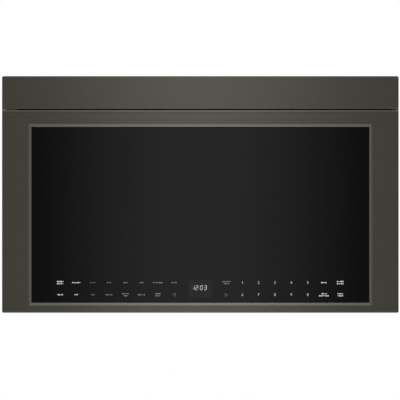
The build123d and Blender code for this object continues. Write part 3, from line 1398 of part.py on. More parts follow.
# ---------------------------------------------------------------- write every node
NODES = {
    "wall_plate": wall_plate(),
    "back_panel": back_panel(),
    "case_wrap": case_wrap(),
    "base_pan": base_pan(),
    "air_plate": air_plate(),
    "blower_deck": blower_deck(),
    "vent_panel": vent_panel(),
    "charcoal_filter": charcoal_filter(),
    "exhaust_adapter": exhaust_adapter(),
    "damper_flap": damper_flap(),
    "cord_gland": cord_gland(),
    "front_plate": front_plate(),
    "oven_liner": oven_liner(),
    "waveguide_cover": waveguide_cover(),
    "oven_lamp": oven_lamp(),
    "turntable_motor": turntable_motor(),
    "turntable_hub": turntable_hub(),
    "glass_tray": glass_tray(),
    "roller_ring": roller_ring(),
    "waveguide": waveguide(),
    "magnetron": magnetron(),
    "hv_transformer": hv_transformer(),
    "capacitor": capacitor(),
    "cooling_fan_frame": cooling_fan_frame(),
    "cooling_fan_motor": cooling_fan_motor(),
    "cooling_fan_blade": cooling_fan_blade(),
    "power_board": power_board(),
    "interlock_bracket": interlock_bracket(),
    "door_switch_upper": switch_body(LATCH_UPPER_Z),
    "door_switch_lower": switch_body(LATCH_LOWER_Z),
    "switch_plunger_upper": switch_plunger(LATCH_UPPER_Z),
    "switch_plunger_lower": switch_plunger(LATCH_LOWER_Z),
    "blower_motor": blower_motor(),
    "blower_shaft": blower_shaft(),
    "hinge_upper": hinge_upper(),
    "hinge_lower": hinge_lower(),
    "door_frame": door_frame(),
    "door_glass": door_glass(),
    "door_inner_panel": door_inner_panel(),
    "choke_cover": choke_cover(),
    "door_screen": door_screen(),
    "door_inner_glass": door_inner_glass(),
    "touch_board": touch_board(),
    "display_module": display_module(),
    "door_hinge_bushes": door_hinge_bushes(),
    "latch_hooks": latch_hooks(),
    "latch_spring": latch_spring(),
}
for side_name, side_sign in (("left", -1), ("right", 1)):
    NODES[f"blower_housing_{side_name}"] = blower_housing(side_sign)
    NODES[f"blower_wheel_{side_name}"] = blower_wheel(side_sign)
    NODES[f"grease_filter_{side_name}"] = grease_filter(side_sign)
    NODES[f"cooktop_lamp_{side_name}"] = cooktop_lamp(side_sign)
    NODES[f"lamp_lens_{side_name}"] = lamp_lens(side_sign)
for roller_index in range(ROLLER_COUNT):
    NODES[f"roller_wheel_{roller_index + 1}"] = roller_wheel(roller_index)

for node_name, node_shape in NODES.items():
    save(node_shape, node_name)
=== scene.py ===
import math
import random

import bmesh
import bpy
from mathutils import Matrix, Vector


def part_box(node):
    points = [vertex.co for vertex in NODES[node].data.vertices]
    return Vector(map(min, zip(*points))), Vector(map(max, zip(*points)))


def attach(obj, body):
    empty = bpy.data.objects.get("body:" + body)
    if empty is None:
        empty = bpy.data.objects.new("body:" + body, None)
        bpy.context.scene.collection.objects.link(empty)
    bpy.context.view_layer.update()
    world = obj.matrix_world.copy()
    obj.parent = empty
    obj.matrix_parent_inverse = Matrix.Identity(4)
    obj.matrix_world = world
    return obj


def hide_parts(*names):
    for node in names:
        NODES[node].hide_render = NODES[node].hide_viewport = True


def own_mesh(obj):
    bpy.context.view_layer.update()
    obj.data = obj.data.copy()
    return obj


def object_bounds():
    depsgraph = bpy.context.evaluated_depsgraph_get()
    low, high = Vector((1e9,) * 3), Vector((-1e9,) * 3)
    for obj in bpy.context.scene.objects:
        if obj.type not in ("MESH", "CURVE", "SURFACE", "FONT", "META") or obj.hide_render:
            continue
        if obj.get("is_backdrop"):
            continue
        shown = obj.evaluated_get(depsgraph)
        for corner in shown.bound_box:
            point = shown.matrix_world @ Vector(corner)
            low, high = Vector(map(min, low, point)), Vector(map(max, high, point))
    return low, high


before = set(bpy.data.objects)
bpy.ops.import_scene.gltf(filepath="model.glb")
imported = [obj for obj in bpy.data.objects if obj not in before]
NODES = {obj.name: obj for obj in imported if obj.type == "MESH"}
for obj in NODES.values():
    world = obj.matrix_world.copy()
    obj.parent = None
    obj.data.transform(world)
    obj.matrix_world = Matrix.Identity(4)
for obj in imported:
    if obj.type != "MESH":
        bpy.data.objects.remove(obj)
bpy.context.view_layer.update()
random.seed(11)

MM = 0.001
FRONT_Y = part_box("door_frame")[0].y
GLASS_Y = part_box("door_glass")[0].y
HALF_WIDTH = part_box("door_frame")[1].x
AXIS_Z = Vector((0, 0, 1))


def show(name, data):
    """A new object in the scene."""
    thing = bpy.data.objects.new(name, data)
    bpy.context.scene.collection.objects.link(thing)
    return thing


# ---------------------------------------------------------------- camera
CAMERA_X = -0.00069
CAMERA_Z = -0.01064
CAMERA_DISTANCE = 6.0
VIEW_WIDTH = 0.7653
SENSOR = 36.0

camera_data = bpy.data.cameras.new("camera")
camera_data.sensor_width = SENSOR
camera_data.lens = SENSOR * CAMERA_DISTANCE / VIEW_WIDTH
camera = show("camera", camera_data)
camera.location = (CAMERA_X, FRONT_Y - CAMERA_DISTANCE, CAMERA_Z)
camera.rotation_euler = (math.pi / 2, 0, 0)
bpy.context.scene.camera = camera


# ---------------------------------------------------------------- materials
def three(value):
    """One number for all three axes or colours, or the three numbers as they are."""
    return (value,) * 3 if isinstance(value, (int, float)) else value


class Surface:
    """A node material: a Principled shader with textures in object coordinates, in metres."""

    def __init__(self, name, **constants):
        self.material = bpy.data.materials.new(name)
        self.material.use_nodes = True
        self.tree = self.material.node_tree
        self.tree.nodes.clear()
        self.output = self.node("ShaderNodeOutputMaterial")
        self.shader = self.node("ShaderNodeBsdfPrincipled")
        self.link(self.shader.outputs[0], self.output.inputs["Surface"])
        for key, value in constants.items():
            self.shader.inputs[key.replace("_", " ").title().replace("Ior", "IOR")].default_value = value
        self.place = self.node("ShaderNodeTexCoord").outputs["Object"]

    def node(self, kind):
        return self.tree.nodes.new(kind)

    def link(self, a, b):
        self.tree.links.new(a, b)

    def feed(self, value, socket):
        """Links an output to a socket, or sets a plain number or colour on it."""
        if isinstance(value, bpy.types.NodeSocket):
            self.link(value, socket)
        else:
            socket.default_value = value

    def axes(self):
        """The place on the object, as the outputs X, Y and Z."""
        split = self.node("ShaderNodeSeparateXYZ")
        self.link(self.place, split.inputs[0])
        return split.outputs

    def maths(self, operation, *values):
        node = self.node("ShaderNodeMath")
        node.operation = operation
        for value, socket in zip(values, node.inputs):
            self.feed(value, socket)
        return node.outputs[0]

    def mixed(self, first, second, factor=1.0, way="MIX"):
        """Two colours mixed or multiplied."""
        node = self.node("ShaderNodeMix")
        node.data_type = "RGBA"
        node.blend_type = way
        for value, key in ((factor, "Factor"), (first, "A"), (second, "B")):
            self.feed(value, node.inputs[key])
        return node.outputs["Result"]

    def texture(self, kind, stretch, **settings):
        mapping = self.node("ShaderNodeMapping")
        mapping.inputs["Scale"].default_value = three(stretch)
        self.link(self.place, mapping.inputs["Vector"])
        texture = self.node(kind)
        self.link(mapping.outputs[0], texture.inputs["Vector"])
        for key, value in settings.items():
            if key in texture.inputs.keys():
                texture.inputs[key].default_value = value
            else:
                setattr(texture, key, value)
        return texture

    def noise(self, stretch, detail=3.0, rough=0.55):
        return self.texture("ShaderNodeTexNoise", stretch, Scale=1.0, Detail=detail, Roughness=rough).outputs["Fac"]

    def cells(self, stretch):
        return self.texture("ShaderNodeTexVoronoi", stretch, Scale=1.0, Randomness=1.0).outputs

    def scaled(self, value, low, high, start=0.25, end=0.75):
        """The range from start to end spread over the range from low to high."""
        spread = self.node("ShaderNodeMapRange")
        for key, number in (("From Min", start), ("From Max", end), ("To Min", low), ("To Max", high)):
            spread.inputs[key].default_value = number
        self.link(value, spread.inputs["Value"])
        return spread.outputs["Result"]

    def ramp(self, value, stops):
        ramp = self.node("ShaderNodeValToRGB")
        self.link(value, ramp.inputs["Fac"])
        bar = ramp.color_ramp
        bar.elements.remove(bar.elements[1])
        bar.elements[0].position = stops[0][0]
        for place, _ in stops[1:]:
            bar.elements.new(place)
        for element, (_, colour) in zip(bar.elements, stops):
            element.color = (*three(colour), 1.0)
        return ramp.outputs["Color"]

    def tones(self, value, base, vary, start=0.3, end=0.7):
        """A colour that goes from a darker to a lighter tone of one base."""
        dark = [c * (1 - vary) for c in three(base)]
        light = [min(1.0, c * (1 + vary)) for c in three(base)]
        return self.ramp(value, ((start, dark), (end, light)))

    def colour(self, socket):
        self.link(socket, self.shader.inputs["Base Color"])

    def roughness(self, value, low, high, **ends):
        self.link(self.scaled(value, low, high, **ends), self.shader.inputs["Roughness"])

    def bump(self, height, strength, depth):
        bump = self.node("ShaderNodeBump")
        bump.inputs["Strength"].default_value = strength
        bump.inputs["Distance"].default_value = depth
        self.link(height, bump.inputs["Height"])
        self.link(bump.outputs[0], self.shader.inputs["Normal"])


# Textures are given in waves to the metre. On a brushed surface these are along the brushing and across it.
CLOUD_WAVES, GLOSS_WAVES = 14, 45
FINE_LINES = (4.0, 1500.0)
BROAD_STREAKS = (0.8, 60.0)
BRUSH_ROUGH = 0.6
BRUSH_SPREAD = 0.14
BRUSH_DEPTH = 0.08 * MM
SPANGLE_WAVES, FLECK_WAVES = 130, 650

# The steel of the front. A painted highlight, with a painted shade line just under it, runs along the door's top
# edge, round DOOR_EDGE_LIGHT_Z, and its two ends carry painted shade from SIDE_SHADE_START to SIDE_SHADE_END inside
# them, as far back as SIDE_SHADE_BACK.
STEEL = (0.2145, 0.1963, 0.1677)
STEEL_VARY = 0.02
STEEL_ROUGH = (0.26, 0.34)
DOOR_EDGE_LIGHT_Z, DOOR_EDGE_LIGHT_REACH = 0.1577, 0.010
DOOR_EDGE_LIGHT_TONES = (
    (0.0, 0.77), (0.40, 0.77), (0.43, 0.64), (0.49, 0.64), (0.52, 1.0), (0.69, 1.0), (0.72, 0.77), (1.0, 0.77),
)
# Painted shade at the two outer ends of the front.
SIDE_SHADE_COLOUR = (0.012, 0.011, 0.010, 1)
SIDE_SHADE_START, SIDE_SHADE_END = 2.1 * MM, 1.0 * MM
SIDE_SHADE_BACK = (1.2 * MM, 2.2 * MM)


def plain_surface(name, base, rough, grain=700, vary=0.06, bump=0.12, depth=0.2 * MM, spread=0.13, **constants):
    """A moulded, painted or cast surface: cloudy tone, uneven gloss and a fine grain."""
    surface = Surface(name, **constants)
    surface.colour(surface.tones(surface.noise(CLOUD_WAVES, detail=4.0), base, vary))
    surface.roughness(surface.noise(GLOSS_WAVES), rough * (1 - spread), min(1.0, rough * (1 + spread)))
    surface.bump(surface.noise(grain, detail=2.0), bump, depth)
    return surface.material


def brushing(surface, along):
    """The fine lines and the broad streaks of metal brushed along one axis."""
    return [
        surface.noise([slow if axis == along else fast for axis in range(3)], rough=BRUSH_ROUGH)
        for slow, fast in (FINE_LINES, BROAD_STREAKS)
    ]


def brushed_surface(name, base, rough, along, vary=0.05):
    """Brushed metal: fine lines along one axis, with slow streaks of tone between them."""
    surface = Surface(name, Metallic=1.0)
    lines, streaks = brushing(surface, along)
    surface.colour(surface.tones(streaks, base, vary))
    surface.roughness(lines, rough * (1 - BRUSH_SPREAD), rough * (1 + BRUSH_SPREAD))
    surface.bump(lines, 0.06, BRUSH_DEPTH)
    return surface.material


def black_stainless():
    """The dark brushed front, with a painted highlight and a painted shade line along the door's top edge, and
    painted shade at its two ends.
    """
    surface = Surface("black_stainless", Metallic=1.0)
    lines, streaks = brushing(surface, 0)
    x, y, z = surface.axes()
    # Painted highlight along the door's top edge, with a painted shade line just under it.
    door_edge_light = surface.ramp(surface.scaled(z, 0.0, 1.0, DOOR_EDGE_LIGHT_Z - DOOR_EDGE_LIGHT_REACH, DOOR_EDGE_LIGHT_Z + DOOR_EDGE_LIGHT_REACH), DOOR_EDGE_LIGHT_TONES)
    steel = surface.mixed(surface.tones(streaks, STEEL, STEEL_VARY), door_edge_light, way="MULTIPLY")
    # Painted shade on the last millimetres at both ends of the front.
    ends = surface.scaled(surface.maths("ABSOLUTE", x), 0.0, 1.0, HALF_WIDTH - SIDE_SHADE_START, HALF_WIDTH - SIDE_SHADE_END)
    fronts = surface.scaled(y, 1.0, 0.0, FRONT_Y + SIDE_SHADE_BACK[0], FRONT_Y + SIDE_SHADE_BACK[1])
    surface.colour(surface.mixed(steel, SIDE_SHADE_COLOUR, surface.maths("MULTIPLY", ends, fronts)))
    surface.roughness(lines, *STEEL_ROUGH)
    surface.bump(lines, 0.04, BRUSH_DEPTH)
    return surface.material


def galvanised():
    """Zinc-coated sheet: crystal spangle with a different tone and gloss for each grain."""
    surface = Surface("galvanised", Metallic=1.0)
    chance = surface.node("ShaderNodeSeparateColor")
    surface.link(surface.cells(SPANGLE_WAVES)["Color"], chance.inputs[0])
    surface.colour(surface.tones(chance.outputs[0], (0.50, 0.51, 0.52), 0.07, start=0.0, end=1.0))
    surface.roughness(chance.outputs[1], 0.36, 0.46, start=0.0, end=1.0)
    surface.bump(surface.noise(260, detail=4.0), 0.10, 0.2 * MM)
    return surface.material


def enamel(name, base, fleck, rough):
    """Baked enamel: glossy, faintly wavy, with fine flecks."""
    surface = Surface(name, Coat_Weight=0.35, Coat_Roughness=0.12)
    flecks = surface.ramp(surface.cells(FLECK_WAVES)["Distance"], ((0.10, fleck), (0.24, base)))
    cloud = surface.ramp(surface.noise(10, detail=4.0), ((0.3, 0.96), (0.7, 1)))
    surface.colour(surface.mixed(flecks, cloud, way="MULTIPLY"))
    surface.roughness(surface.noise(60), rough * 0.85, rough * 1.2)
    surface.bump(surface.noise(70, detail=2.0), 0.02, 0.3 * MM)
    return surface.material


def layered(name, base, rough, axis, pitch):
    """Wound wire: even lines across one axis."""
    surface = Surface(name, Metallic=1.0)
    stretch = [1.0 / pitch if i == axis else 0.0 for i in range(3)]
    wave = surface.texture(
        "ShaderNodeTexWave", stretch, Scale=1.0, Distortion=0.0, bands_direction="XYZ"[axis]
    ).outputs["Fac"]
    surface.colour(surface.tones(wave, base, 0.28, start=0.1, end=0.9))
    surface.roughness(surface.noise(80), rough * 0.85, rough * 1.15)
    surface.bump(wave, 0.35, pitch * 0.3)
    return surface.material


def clear(name, tint, rough, transmission, ior):
    """Clear glass or plastic, very slightly wavy."""
    surface = Surface(name, Transmission_Weight=transmission, IOR=ior)
    surface.colour(surface.tones(surface.noise(12, detail=2.0), tint, 0.015))
    surface.roughness(surface.noise(35, detail=4.0), rough * 0.6, rough * 1.6)
    surface.bump(surface.noise(9, detail=2.0), 0.012, 0.6 * MM)
    return surface.material


def dark_glass():
    """Black backed glass: almost no colour of its own, polished, with faint smears in the gloss."""
    surface = Surface("door_glass", Specular_IOR_Level=0.30, IOR=1.5)
    surface.colour(surface.tones(surface.noise(6), (0.0022, 0.0022, 0.0023), 0.12))
    surface.roughness(surface.noise((18, 5, 26), detail=5.0), 0.035, 0.075)
    return surface.material


def circuit_board():
    """Green board with paler tracks."""
    surface = Surface("circuit_board", Specular_IOR_Level=0.45)
    bricks = surface.texture(
        "ShaderNodeTexBrick", 1, Scale=120.0, Color1=(0.03, 0.17, 0.08, 1), Color2=(0.035, 0.2, 0.1, 1),
        Mortar=(0.08, 0.33, 0.18, 1), **{"Mortar Size": 0.06},
    ).outputs
    surface.colour(bricks["Color"])
    surface.roughness(surface.noise(90), 0.3, 0.42)
    surface.bump(bricks["Fac"], 0.2, 0.05 * MM)
    return surface.material


def plain_name(material):
    """A material's name without the number that Blender adds to a name in use."""
    return material.name.split(".")[0]


FINISH = {plain_name(material): material for material in (
    black_stainless(),
    dark_glass(),
    clear("clear_glass", (0.93, 0.96, 0.95), rough=0.03, transmission=1.0, ior=1.5),
    plain_surface("case_paint", (0.027, 0.027, 0.028), rough=0.42, grain=900, vary=0.05, bump=0.16, spread=0.04),
    galvanised(),
    enamel("oven_enamel", (0.54, 0.54, 0.53), fleck=0.40, rough=0.26),
    enamel("door_enamel", (0.020, 0.020, 0.021), fleck=0.035, rough=0.25),
    plain_surface("black_plastic", (0.022, 0.022, 0.023), rough=0.48, grain=1400),
    plain_surface("white_plastic", (0.72, 0.71, 0.68), rough=0.40, grain=1000, vary=0.03),
    plain_surface("grey_plastic", (0.26, 0.27, 0.28), rough=0.45, grain=1200, vary=0.05),
    brushed_surface("filter_aluminium", (0.62, 0.63, 0.64), rough=0.34, along=0, vary=0.06),
    plain_surface("charcoal", 0.02, rough=0.85, grain=420, vary=0.3, bump=0.9, depth=1.2 * MM),
    plain_surface("mica", (0.50, 0.44, 0.31), rough=0.5, grain=(120, 700, 400), vary=0.12, bump=0.2, depth=0.3 * MM),
    circuit_board(),
    plain_surface("display", (0.010, 0.010, 0.011), rough=0.12, grain=300, vary=0.1, bump=0.02),
    clear("lamp_lens", (0.92, 0.92, 0.89), rough=0.16, transmission=0.85, ior=1.46),
    brushed_surface("motor_steel", (0.40, 0.40, 0.41), rough=0.36, along=2, vary=0.08),
    brushed_surface("shaft_steel", (0.58, 0.58, 0.59), rough=0.2, along=0, vary=0.04),
    layered("copper", (0.50, 0.24, 0.10), rough=0.35, axis=2, pitch=2.2 * MM),
    brushed_surface("can_aluminium", (0.62, 0.62, 0.63), rough=0.25, along=2),
)}
for node in NODES.values():
    for slot in node.material_slots:
        slot.material = FINISH[plain_name(slot.material)]


# ---------------------------------------------------------------- mesh helpers
class Build:
    """Collects the corners and faces of one piece."""

    def __init__(self):
        self.verts, self.faces = [], []

    def add(self, verts, faces):
        start = len(self.verts)
        self.verts += [tuple(v) for v in verts]
        self.faces += [[start + i for i in face] for face in faces]

    def piece(self, name, material, body, smooth=False):
        mesh = bpy.data.meshes.new(name)
        mesh.from_pydata(self.verts, [], self.faces)
        mesh.update()
        mesh.materials.append(material)
        if smooth:
            mesh.shade_smooth()
        thing = show(name, mesh)
        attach(thing, body)
        return thing


def around(sides):
    """Even angles round a full turn."""
    return [2 * math.pi * i / sides for i in range(sides)]


def walls(sides, rings=1):
    """The faces between rings of corners that follow each other."""
    return [
        [sides * r + i, sides * r + (i + 1) % sides, sides * (r + 1) + (i + 1) % sides, sides * (r + 1) + i]
        for r in range(rings) for i in range(sides)
    ]


def caps(sides, count):
    """The two end faces of a row of rings with count corners in all."""
    return [list(range(sides)), [count - 1 - i for i in range(sides)]]


def tube(build, line, radius, directions, sides=8):
    """A round wire; directions(spot, ahead) gives the two directions across it."""
    corners = []
    for i, spot in enumerate(line):
        ahead = line[min(i + 1, len(line) - 1)] - line[max(i - 1, 0)]
        side, other = directions(spot, ahead)
        corners += [spot + side * radius * math.cos(a) + other * radius * math.sin(a) for a in around(sides)]
    build.add(corners, walls(sides, len(line) - 1) + caps(sides, len(corners)))


def rectangle(x0, x1, y0, y1, z):
    return [(x0, y0, z), (x1, y0, z), (x1, y1, z), (x0, y1, z)]


# ---------------------------------------------------------------- marks on the glass, in mm in x and z
INK_Y = GLASS_Y - 0.06 * MM
JOINT_LIFT, JOINT_LIFT_ODD, JOINT_SIDES = 0.004 * MM, 0.006 * MM, 8


def ink(name, base, **constants):
    """Printed ink: matt and almost smooth."""
    return plain_surface(name, base, rough=0.55, grain=900, vary=0.05, bump=0.05, **constants)


def flat(build, points, depth):
    """A flat polygon that faces the front."""
    build.add([(x * MM, depth, z * MM) for x, z in points], [list(range(len(points)))])


def disc(build, x, z, r, depth, sides):
    flat(build, [(x + r * math.cos(a), z + r * math.sin(a)) for a in around(sides)], depth)


def stroke(build, points, width):
    """A drawn line of even width with round joints, which lie a hair in front of it."""
    half = width / 2
    for (x0, z0), (x1, z1) in zip(points, points[1:]):
        run = math.hypot(x1 - x0, z1 - z0)
        nx, nz = -(z1 - z0) / run * half, (x1 - x0) / run * half
        flat(build, [(x0 + nx, z0 + nz), (x1 + nx, z1 + nz), (x1 - nx, z1 - nz), (x0 - nx, z0 - nz)], INK_Y)
    for i, (x, z) in enumerate(points):
        disc(build, x, z, half, INK_Y - (JOINT_LIFT_ODD if i % 2 else JOINT_LIFT), JOINT_SIDES)


def arc(x, z, r, start, end, steps):
    angles = [math.radians(start + (end - start) * i / steps) for i in range(steps + 1)]
    return [(x + r * math.cos(a), z + r * math.sin(a)) for a in angles]


SIGNS = {
    "drop": [[(0, 1.3), (-0.75, -0.1), (-0.65, -0.8), (0, -1.2), (0.65, -0.8), (0.75, -0.1), (0, 1.3)]],
    "flake": [[(0, -1.3), (0, 1.3)], [(-1.1, -0.65), (1.1, 0.65)], [(-1.1, 0.65), (1.1, -0.65)]],
    "wave": [[(-1.3, -0.3), (-0.8, 0.4), (-0.2, 0.3), (0.3, -0.3), (0.9, -0.3), (1.3, 0.3)]],
    "cup": [[(-1, 0.9), (-0.8, -1.0), (0.6, -1.0), (0.8, 0.9), (-1, 0.9)], arc(0.8, 0.1, 0.5, -80, 80, 5)],
    "plate": [[(-1.4, 0.1), (-0.9, -0.5), (0.9, -0.5), (1.4, 0.1), (-1.4, 0.1)], [(-0.5, -1.0), (0.5, -1.0)]],
    "arrow": [[(-1.2, 0), (1.1, 0)], [(0.4, 0.75), (1.1, 0), (0.4, -0.75)]],
    "bars": [[(-1, -1.1), (-1, -0.3)], [(0, -1.1), (0, 0.4)], [(1, -1.1), (1, 1.1)]],
    "clock": [arc(0, 0, 1.2, 0, 360, 12), [(0, 0.7), (0, 0), (0.5, -0.3)]],
    "fan": [arc(0.55, 0.35, 0.6, 200, 20, 5), arc(-0.55, 0.35, 0.6, 340, 160, 5), arc(0, -0.6, 0.6, 90, 270, 5)],
    "bulb": [arc(0, 0.3, 0.9, -50, 230, 10), [(-0.45, -0.8), (0.45, -0.8)], [(-0.3, -1.25), (0.3, -1.25)]],
    "lock": [[(-0.9, 0.1), (-0.9, -1.1), (0.9, -1.1), (0.9, 0.1), (-0.9, 0.1)], arc(0, 0.2, 0.6, 0, 180, 6)],
    "plus": [[(-0.9, 0), (0.9, 0)], [(0, -0.9), (0, 0.9)]],
    "minus": [[(-1.0, 0), (1.0, 0)]],
    "flame": [[(0, 1.3), (-0.4, 0.3), (-0.9, -0.3), (-0.6, -1.0), (0, -1.2), (0.7, -0.9), (0.8, -0.1), (0, 1.3)]],
    "cube": [[(-0.9, -0.9), (0.9, -0.9), (0.9, 0.9), (-0.9, 0.9), (-0.9, -0.9)]],
    "grain": [arc(-0.6, -0.5, 0.5, 0, 360, 8), arc(0.6, -0.5, 0.5, 0, 360, 8), arc(0, 0.5, 0.5, 0, 360, 8)],
    "leaf": [
        [(-1.1, -1), (-0.9, 0.4), (0.1, 1.1), (1.1, 1.1), (0.9, 0), (0, -0.9), (-1.1, -1)], [(-1.1, -1), (0.5, 0.5)],
    ],
    "slice": [[(-1.1, 0.9), (1.1, 0.9), (0, -1.2), (-1.1, 0.9)], [(-0.2, 0.3), (0.2, 0.3)]],
    "power": [arc(0, -0.1, 1.0, 130, 410, 10), [(0, 0.2), (0, 1.2)]],
    "go": [[(-0.7, -1.0), (-0.7, 1.0), (1.0, 0), (-0.7, -1.0)]],
    "turn": [arc(0, 0, 1.0, 60, 350, 10), [(0.5, 0.3), (1.05, -0.1), (1.4, 0.5)]],
    "dots": [arc(-1, 0, 0.2, 0, 360, 6), arc(0, 0, 0.2, 0, 360, 6), arc(1, 0, 0.2, 0, 360, 6)],
}
INKS = {
    "dim": ink("ink_dim", 0.38),
    "mid": ink("ink_mid", 0.55),
    # The bold legends glow with emission: painted light on printed ink.
    "bold": ink("ink_bold_glowing", 0.92, Emission_Color=(1, 1, 1, 1), Emission_Strength=0.34),
    "digit": ink("ink_digit", 0.72),
}
WIDTHS = {"dim": 0.36, "mid": 0.40, "bold": 0.46}
ROW_UPPER, ROW_LOWER = -168.7, -191.9
LEFT_COLUMNS = [-268.2, -237.4, -206.0, -174.8, -143.6, -112.8, -81.4, -50.2]
RIGHT_COLUMNS = [49.8, 80.6, 111.4, 142.8, 174.0, 205.6, 236.5, 267.7]
KEYS = [
    (LEFT_COLUMNS[0], ROW_UPPER, "bold", ["flake bars drop cube dots", "cube bars dots drop minus"]),
    (LEFT_COLUMNS[1], ROW_UPPER, "bold", ["flake wave bars arrow cube dots"]),
    (LEFT_COLUMNS[2], ROW_UPPER, "dim", ["grain arrow cup wave"]),
    (LEFT_COLUMNS[3], ROW_UPPER, "dim", ["leaf wave bars"]),
    (LEFT_COLUMNS[4], ROW_UPPER, "mid", ["cup wave bars"]),
    (LEFT_COLUMNS[5], ROW_UPPER, "mid", ["plate wave cube"]),
    (LEFT_COLUMNS[6], ROW_UPPER, "mid", ["slice dots flame wave bars plate cube"]),
    (LEFT_COLUMNS[7], ROW_UPPER, "mid", ["drop wave bars cube"]),
    (LEFT_COLUMNS[0], ROW_LOWER, "bold", ["bulb bars dots cube"]),
    (LEFT_COLUMNS[1], ROW_LOWER, "bold", ["fan bars plus"]),
    (LEFT_COLUMNS[2], ROW_LOWER, "dim", ["turn bars cube"]),
    (LEFT_COLUMNS[3], ROW_LOWER, "mid", ["cube bars arrow dots drop"]),
    (LEFT_COLUMNS[4], ROW_LOWER, "mid", ["flame bars dots wave cube", "wave bars cup"]),
    (LEFT_COLUMNS[5], ROW_LOWER, "mid", ["grain cup wave dots bars"]),
    (LEFT_COLUMNS[6], ROW_LOWER, "mid", ["plate turn cup cube", "bars dots cube wave"]),
    (RIGHT_COLUMNS[0], ROW_UPPER, "mid", ["power bars dots cube wave bars", "cube bars plus cup"]),
    (RIGHT_COLUMNS[6], ROW_UPPER, "bold", ["clock bars dots cube"]),
    (RIGHT_COLUMNS[7], ROW_UPPER, "bold", ["cube dots bars drop cube", "lock bars dots cube bars"]),
    (RIGHT_COLUMNS[6], ROW_LOWER, "bold", ["bars cube dots bars", "clock bars cube dots cube bars clock"]),
    (RIGHT_COLUMNS[7], ROW_LOWER, "bold", ["go bars cube bars", "plus clock bars cube"]),
]
SIGN_PITCH, SIGN_ROW, SIGN_WIDE, SIGN_HIGH = 2.65, 4.0, 0.72, 0.92
POINTER_BACK, POINTER_TIP, POINTER_HALF, POINTER_WIDTH = 2.4, 2.9, 3.3, 0.34

legends = {name: Build() for name in WIDTHS}
for x, z, tone, rows in KEYS:
    for i, row in enumerate(rows):
        signs = row.split()
        high = z + ((len(rows) - 1) / 2 - i) * SIGN_ROW
        for j, sign in enumerate(signs):
            middle = x + (j - (len(signs) - 1) / 2) * SIGN_PITCH
            for line in SIGNS[sign]:
                spots = [(middle + px * SIGN_WIDE, high + pz * SIGN_HIGH) for px, pz in line]
                stroke(legends[tone], spots, WIDTHS[tone])
for way, x in ((-1, LEFT_COLUMNS[7]), (1, RIGHT_COLUMNS[0])):
    back, tip = x - way * POINTER_BACK, x + way * POINTER_TIP
    pointer = [(back, ROW_LOWER + POINTER_HALF), (tip, ROW_LOWER), (back, ROW_LOWER - POINTER_HALF)]
    stroke(legends["dim"], pointer + pointer[:1], POINTER_WIDTH)
for tone, build in legends.items():
    build.piece("key_signs_" + tone, INKS[tone], "door")

KEY_DIGIT_HEIGHT = 5.0
CURVE_STEPS = 4
MERGE = 1e-3


def key_digit(text, x, z):
    """A plain digit as a flat mesh, centred at x and z in mm."""
    name = "key_digit_" + text
    curve = bpy.data.curves.new(name, "FONT")
    curve.body = text
    curve.resolution_u = CURVE_STEPS
    source = show(name, curve)
    mesh = bpy.data.meshes.new_from_object(source)
    bpy.data.objects.remove(source)
    work = bmesh.new()
    work.from_mesh(mesh)
    bmesh.ops.remove_doubles(work, verts=work.verts, dist=MERGE)
    bmesh.ops.dissolve_degenerate(work, edges=work.edges, dist=MERGE)
    work.to_mesh(mesh)
    work.free()
    xs = [v.co.x for v in mesh.vertices]
    ys = [v.co.y for v in mesh.vertices]
    scale = KEY_DIGIT_HEIGHT * MM / (max(ys) - min(ys))
    centre = Vector(((max(xs) + min(xs)) / 2, (max(ys) + min(ys)) / 2, 0))
    place = Vector((x * MM, INK_Y, z * MM))
    upright = Matrix.Rotation(math.pi / 2, 4, "X")
    for v in mesh.vertices:
        v.co = place + upright @ ((v.co - centre) * scale)
    mesh.materials.clear()
    mesh.materials.append(INKS["digit"])
    thing = show(name, mesh)
    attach(thing, "door")


for i in range(10):
    key_digit(str((i + 1) % 10), RIGHT_COLUMNS[1 + i % 5], ROW_UPPER if i < 5 else ROW_LOWER)

# ---------------------------------------------------------------- seal round the glass, also painted shade along its edge, in mm
OPEN_X, OPEN_LOW, OPEN_HIGH = 323.2, -207.2, 129.2
SEAL_STEPS = ((0.0, 0.3), (0.9, 0.3), (1.3, 0.15), (1.4, 0.0))  # in from the opening, and proud of the glass

seal = Build()
rings = []
for inset, proud in SEAL_STEPS:
    x, low, high = OPEN_X - inset, OPEN_LOW + inset, OPEN_HIGH - inset
    rings += [(px * MM, GLASS_Y - proud * MM, pz * MM) for px, pz in ((-x, low), (x, low), (x, high), (-x, high))]
seal.add(rings, walls(4, len(SEAL_STEPS) - 1))
# Near-black, unreflecting rubber: a seal that also serves as painted shade along the glass edge.
seal_rubber_and_shade = plain_surface(
    "glass_seal_and_shade", 0.002, rough=0.8, grain=1500, vary=0.1, bump=0.1, Specular_IOR_Level=0.1
)
seal.piece("glass_seal_and_shade", seal_rubber_and_shade, "door")

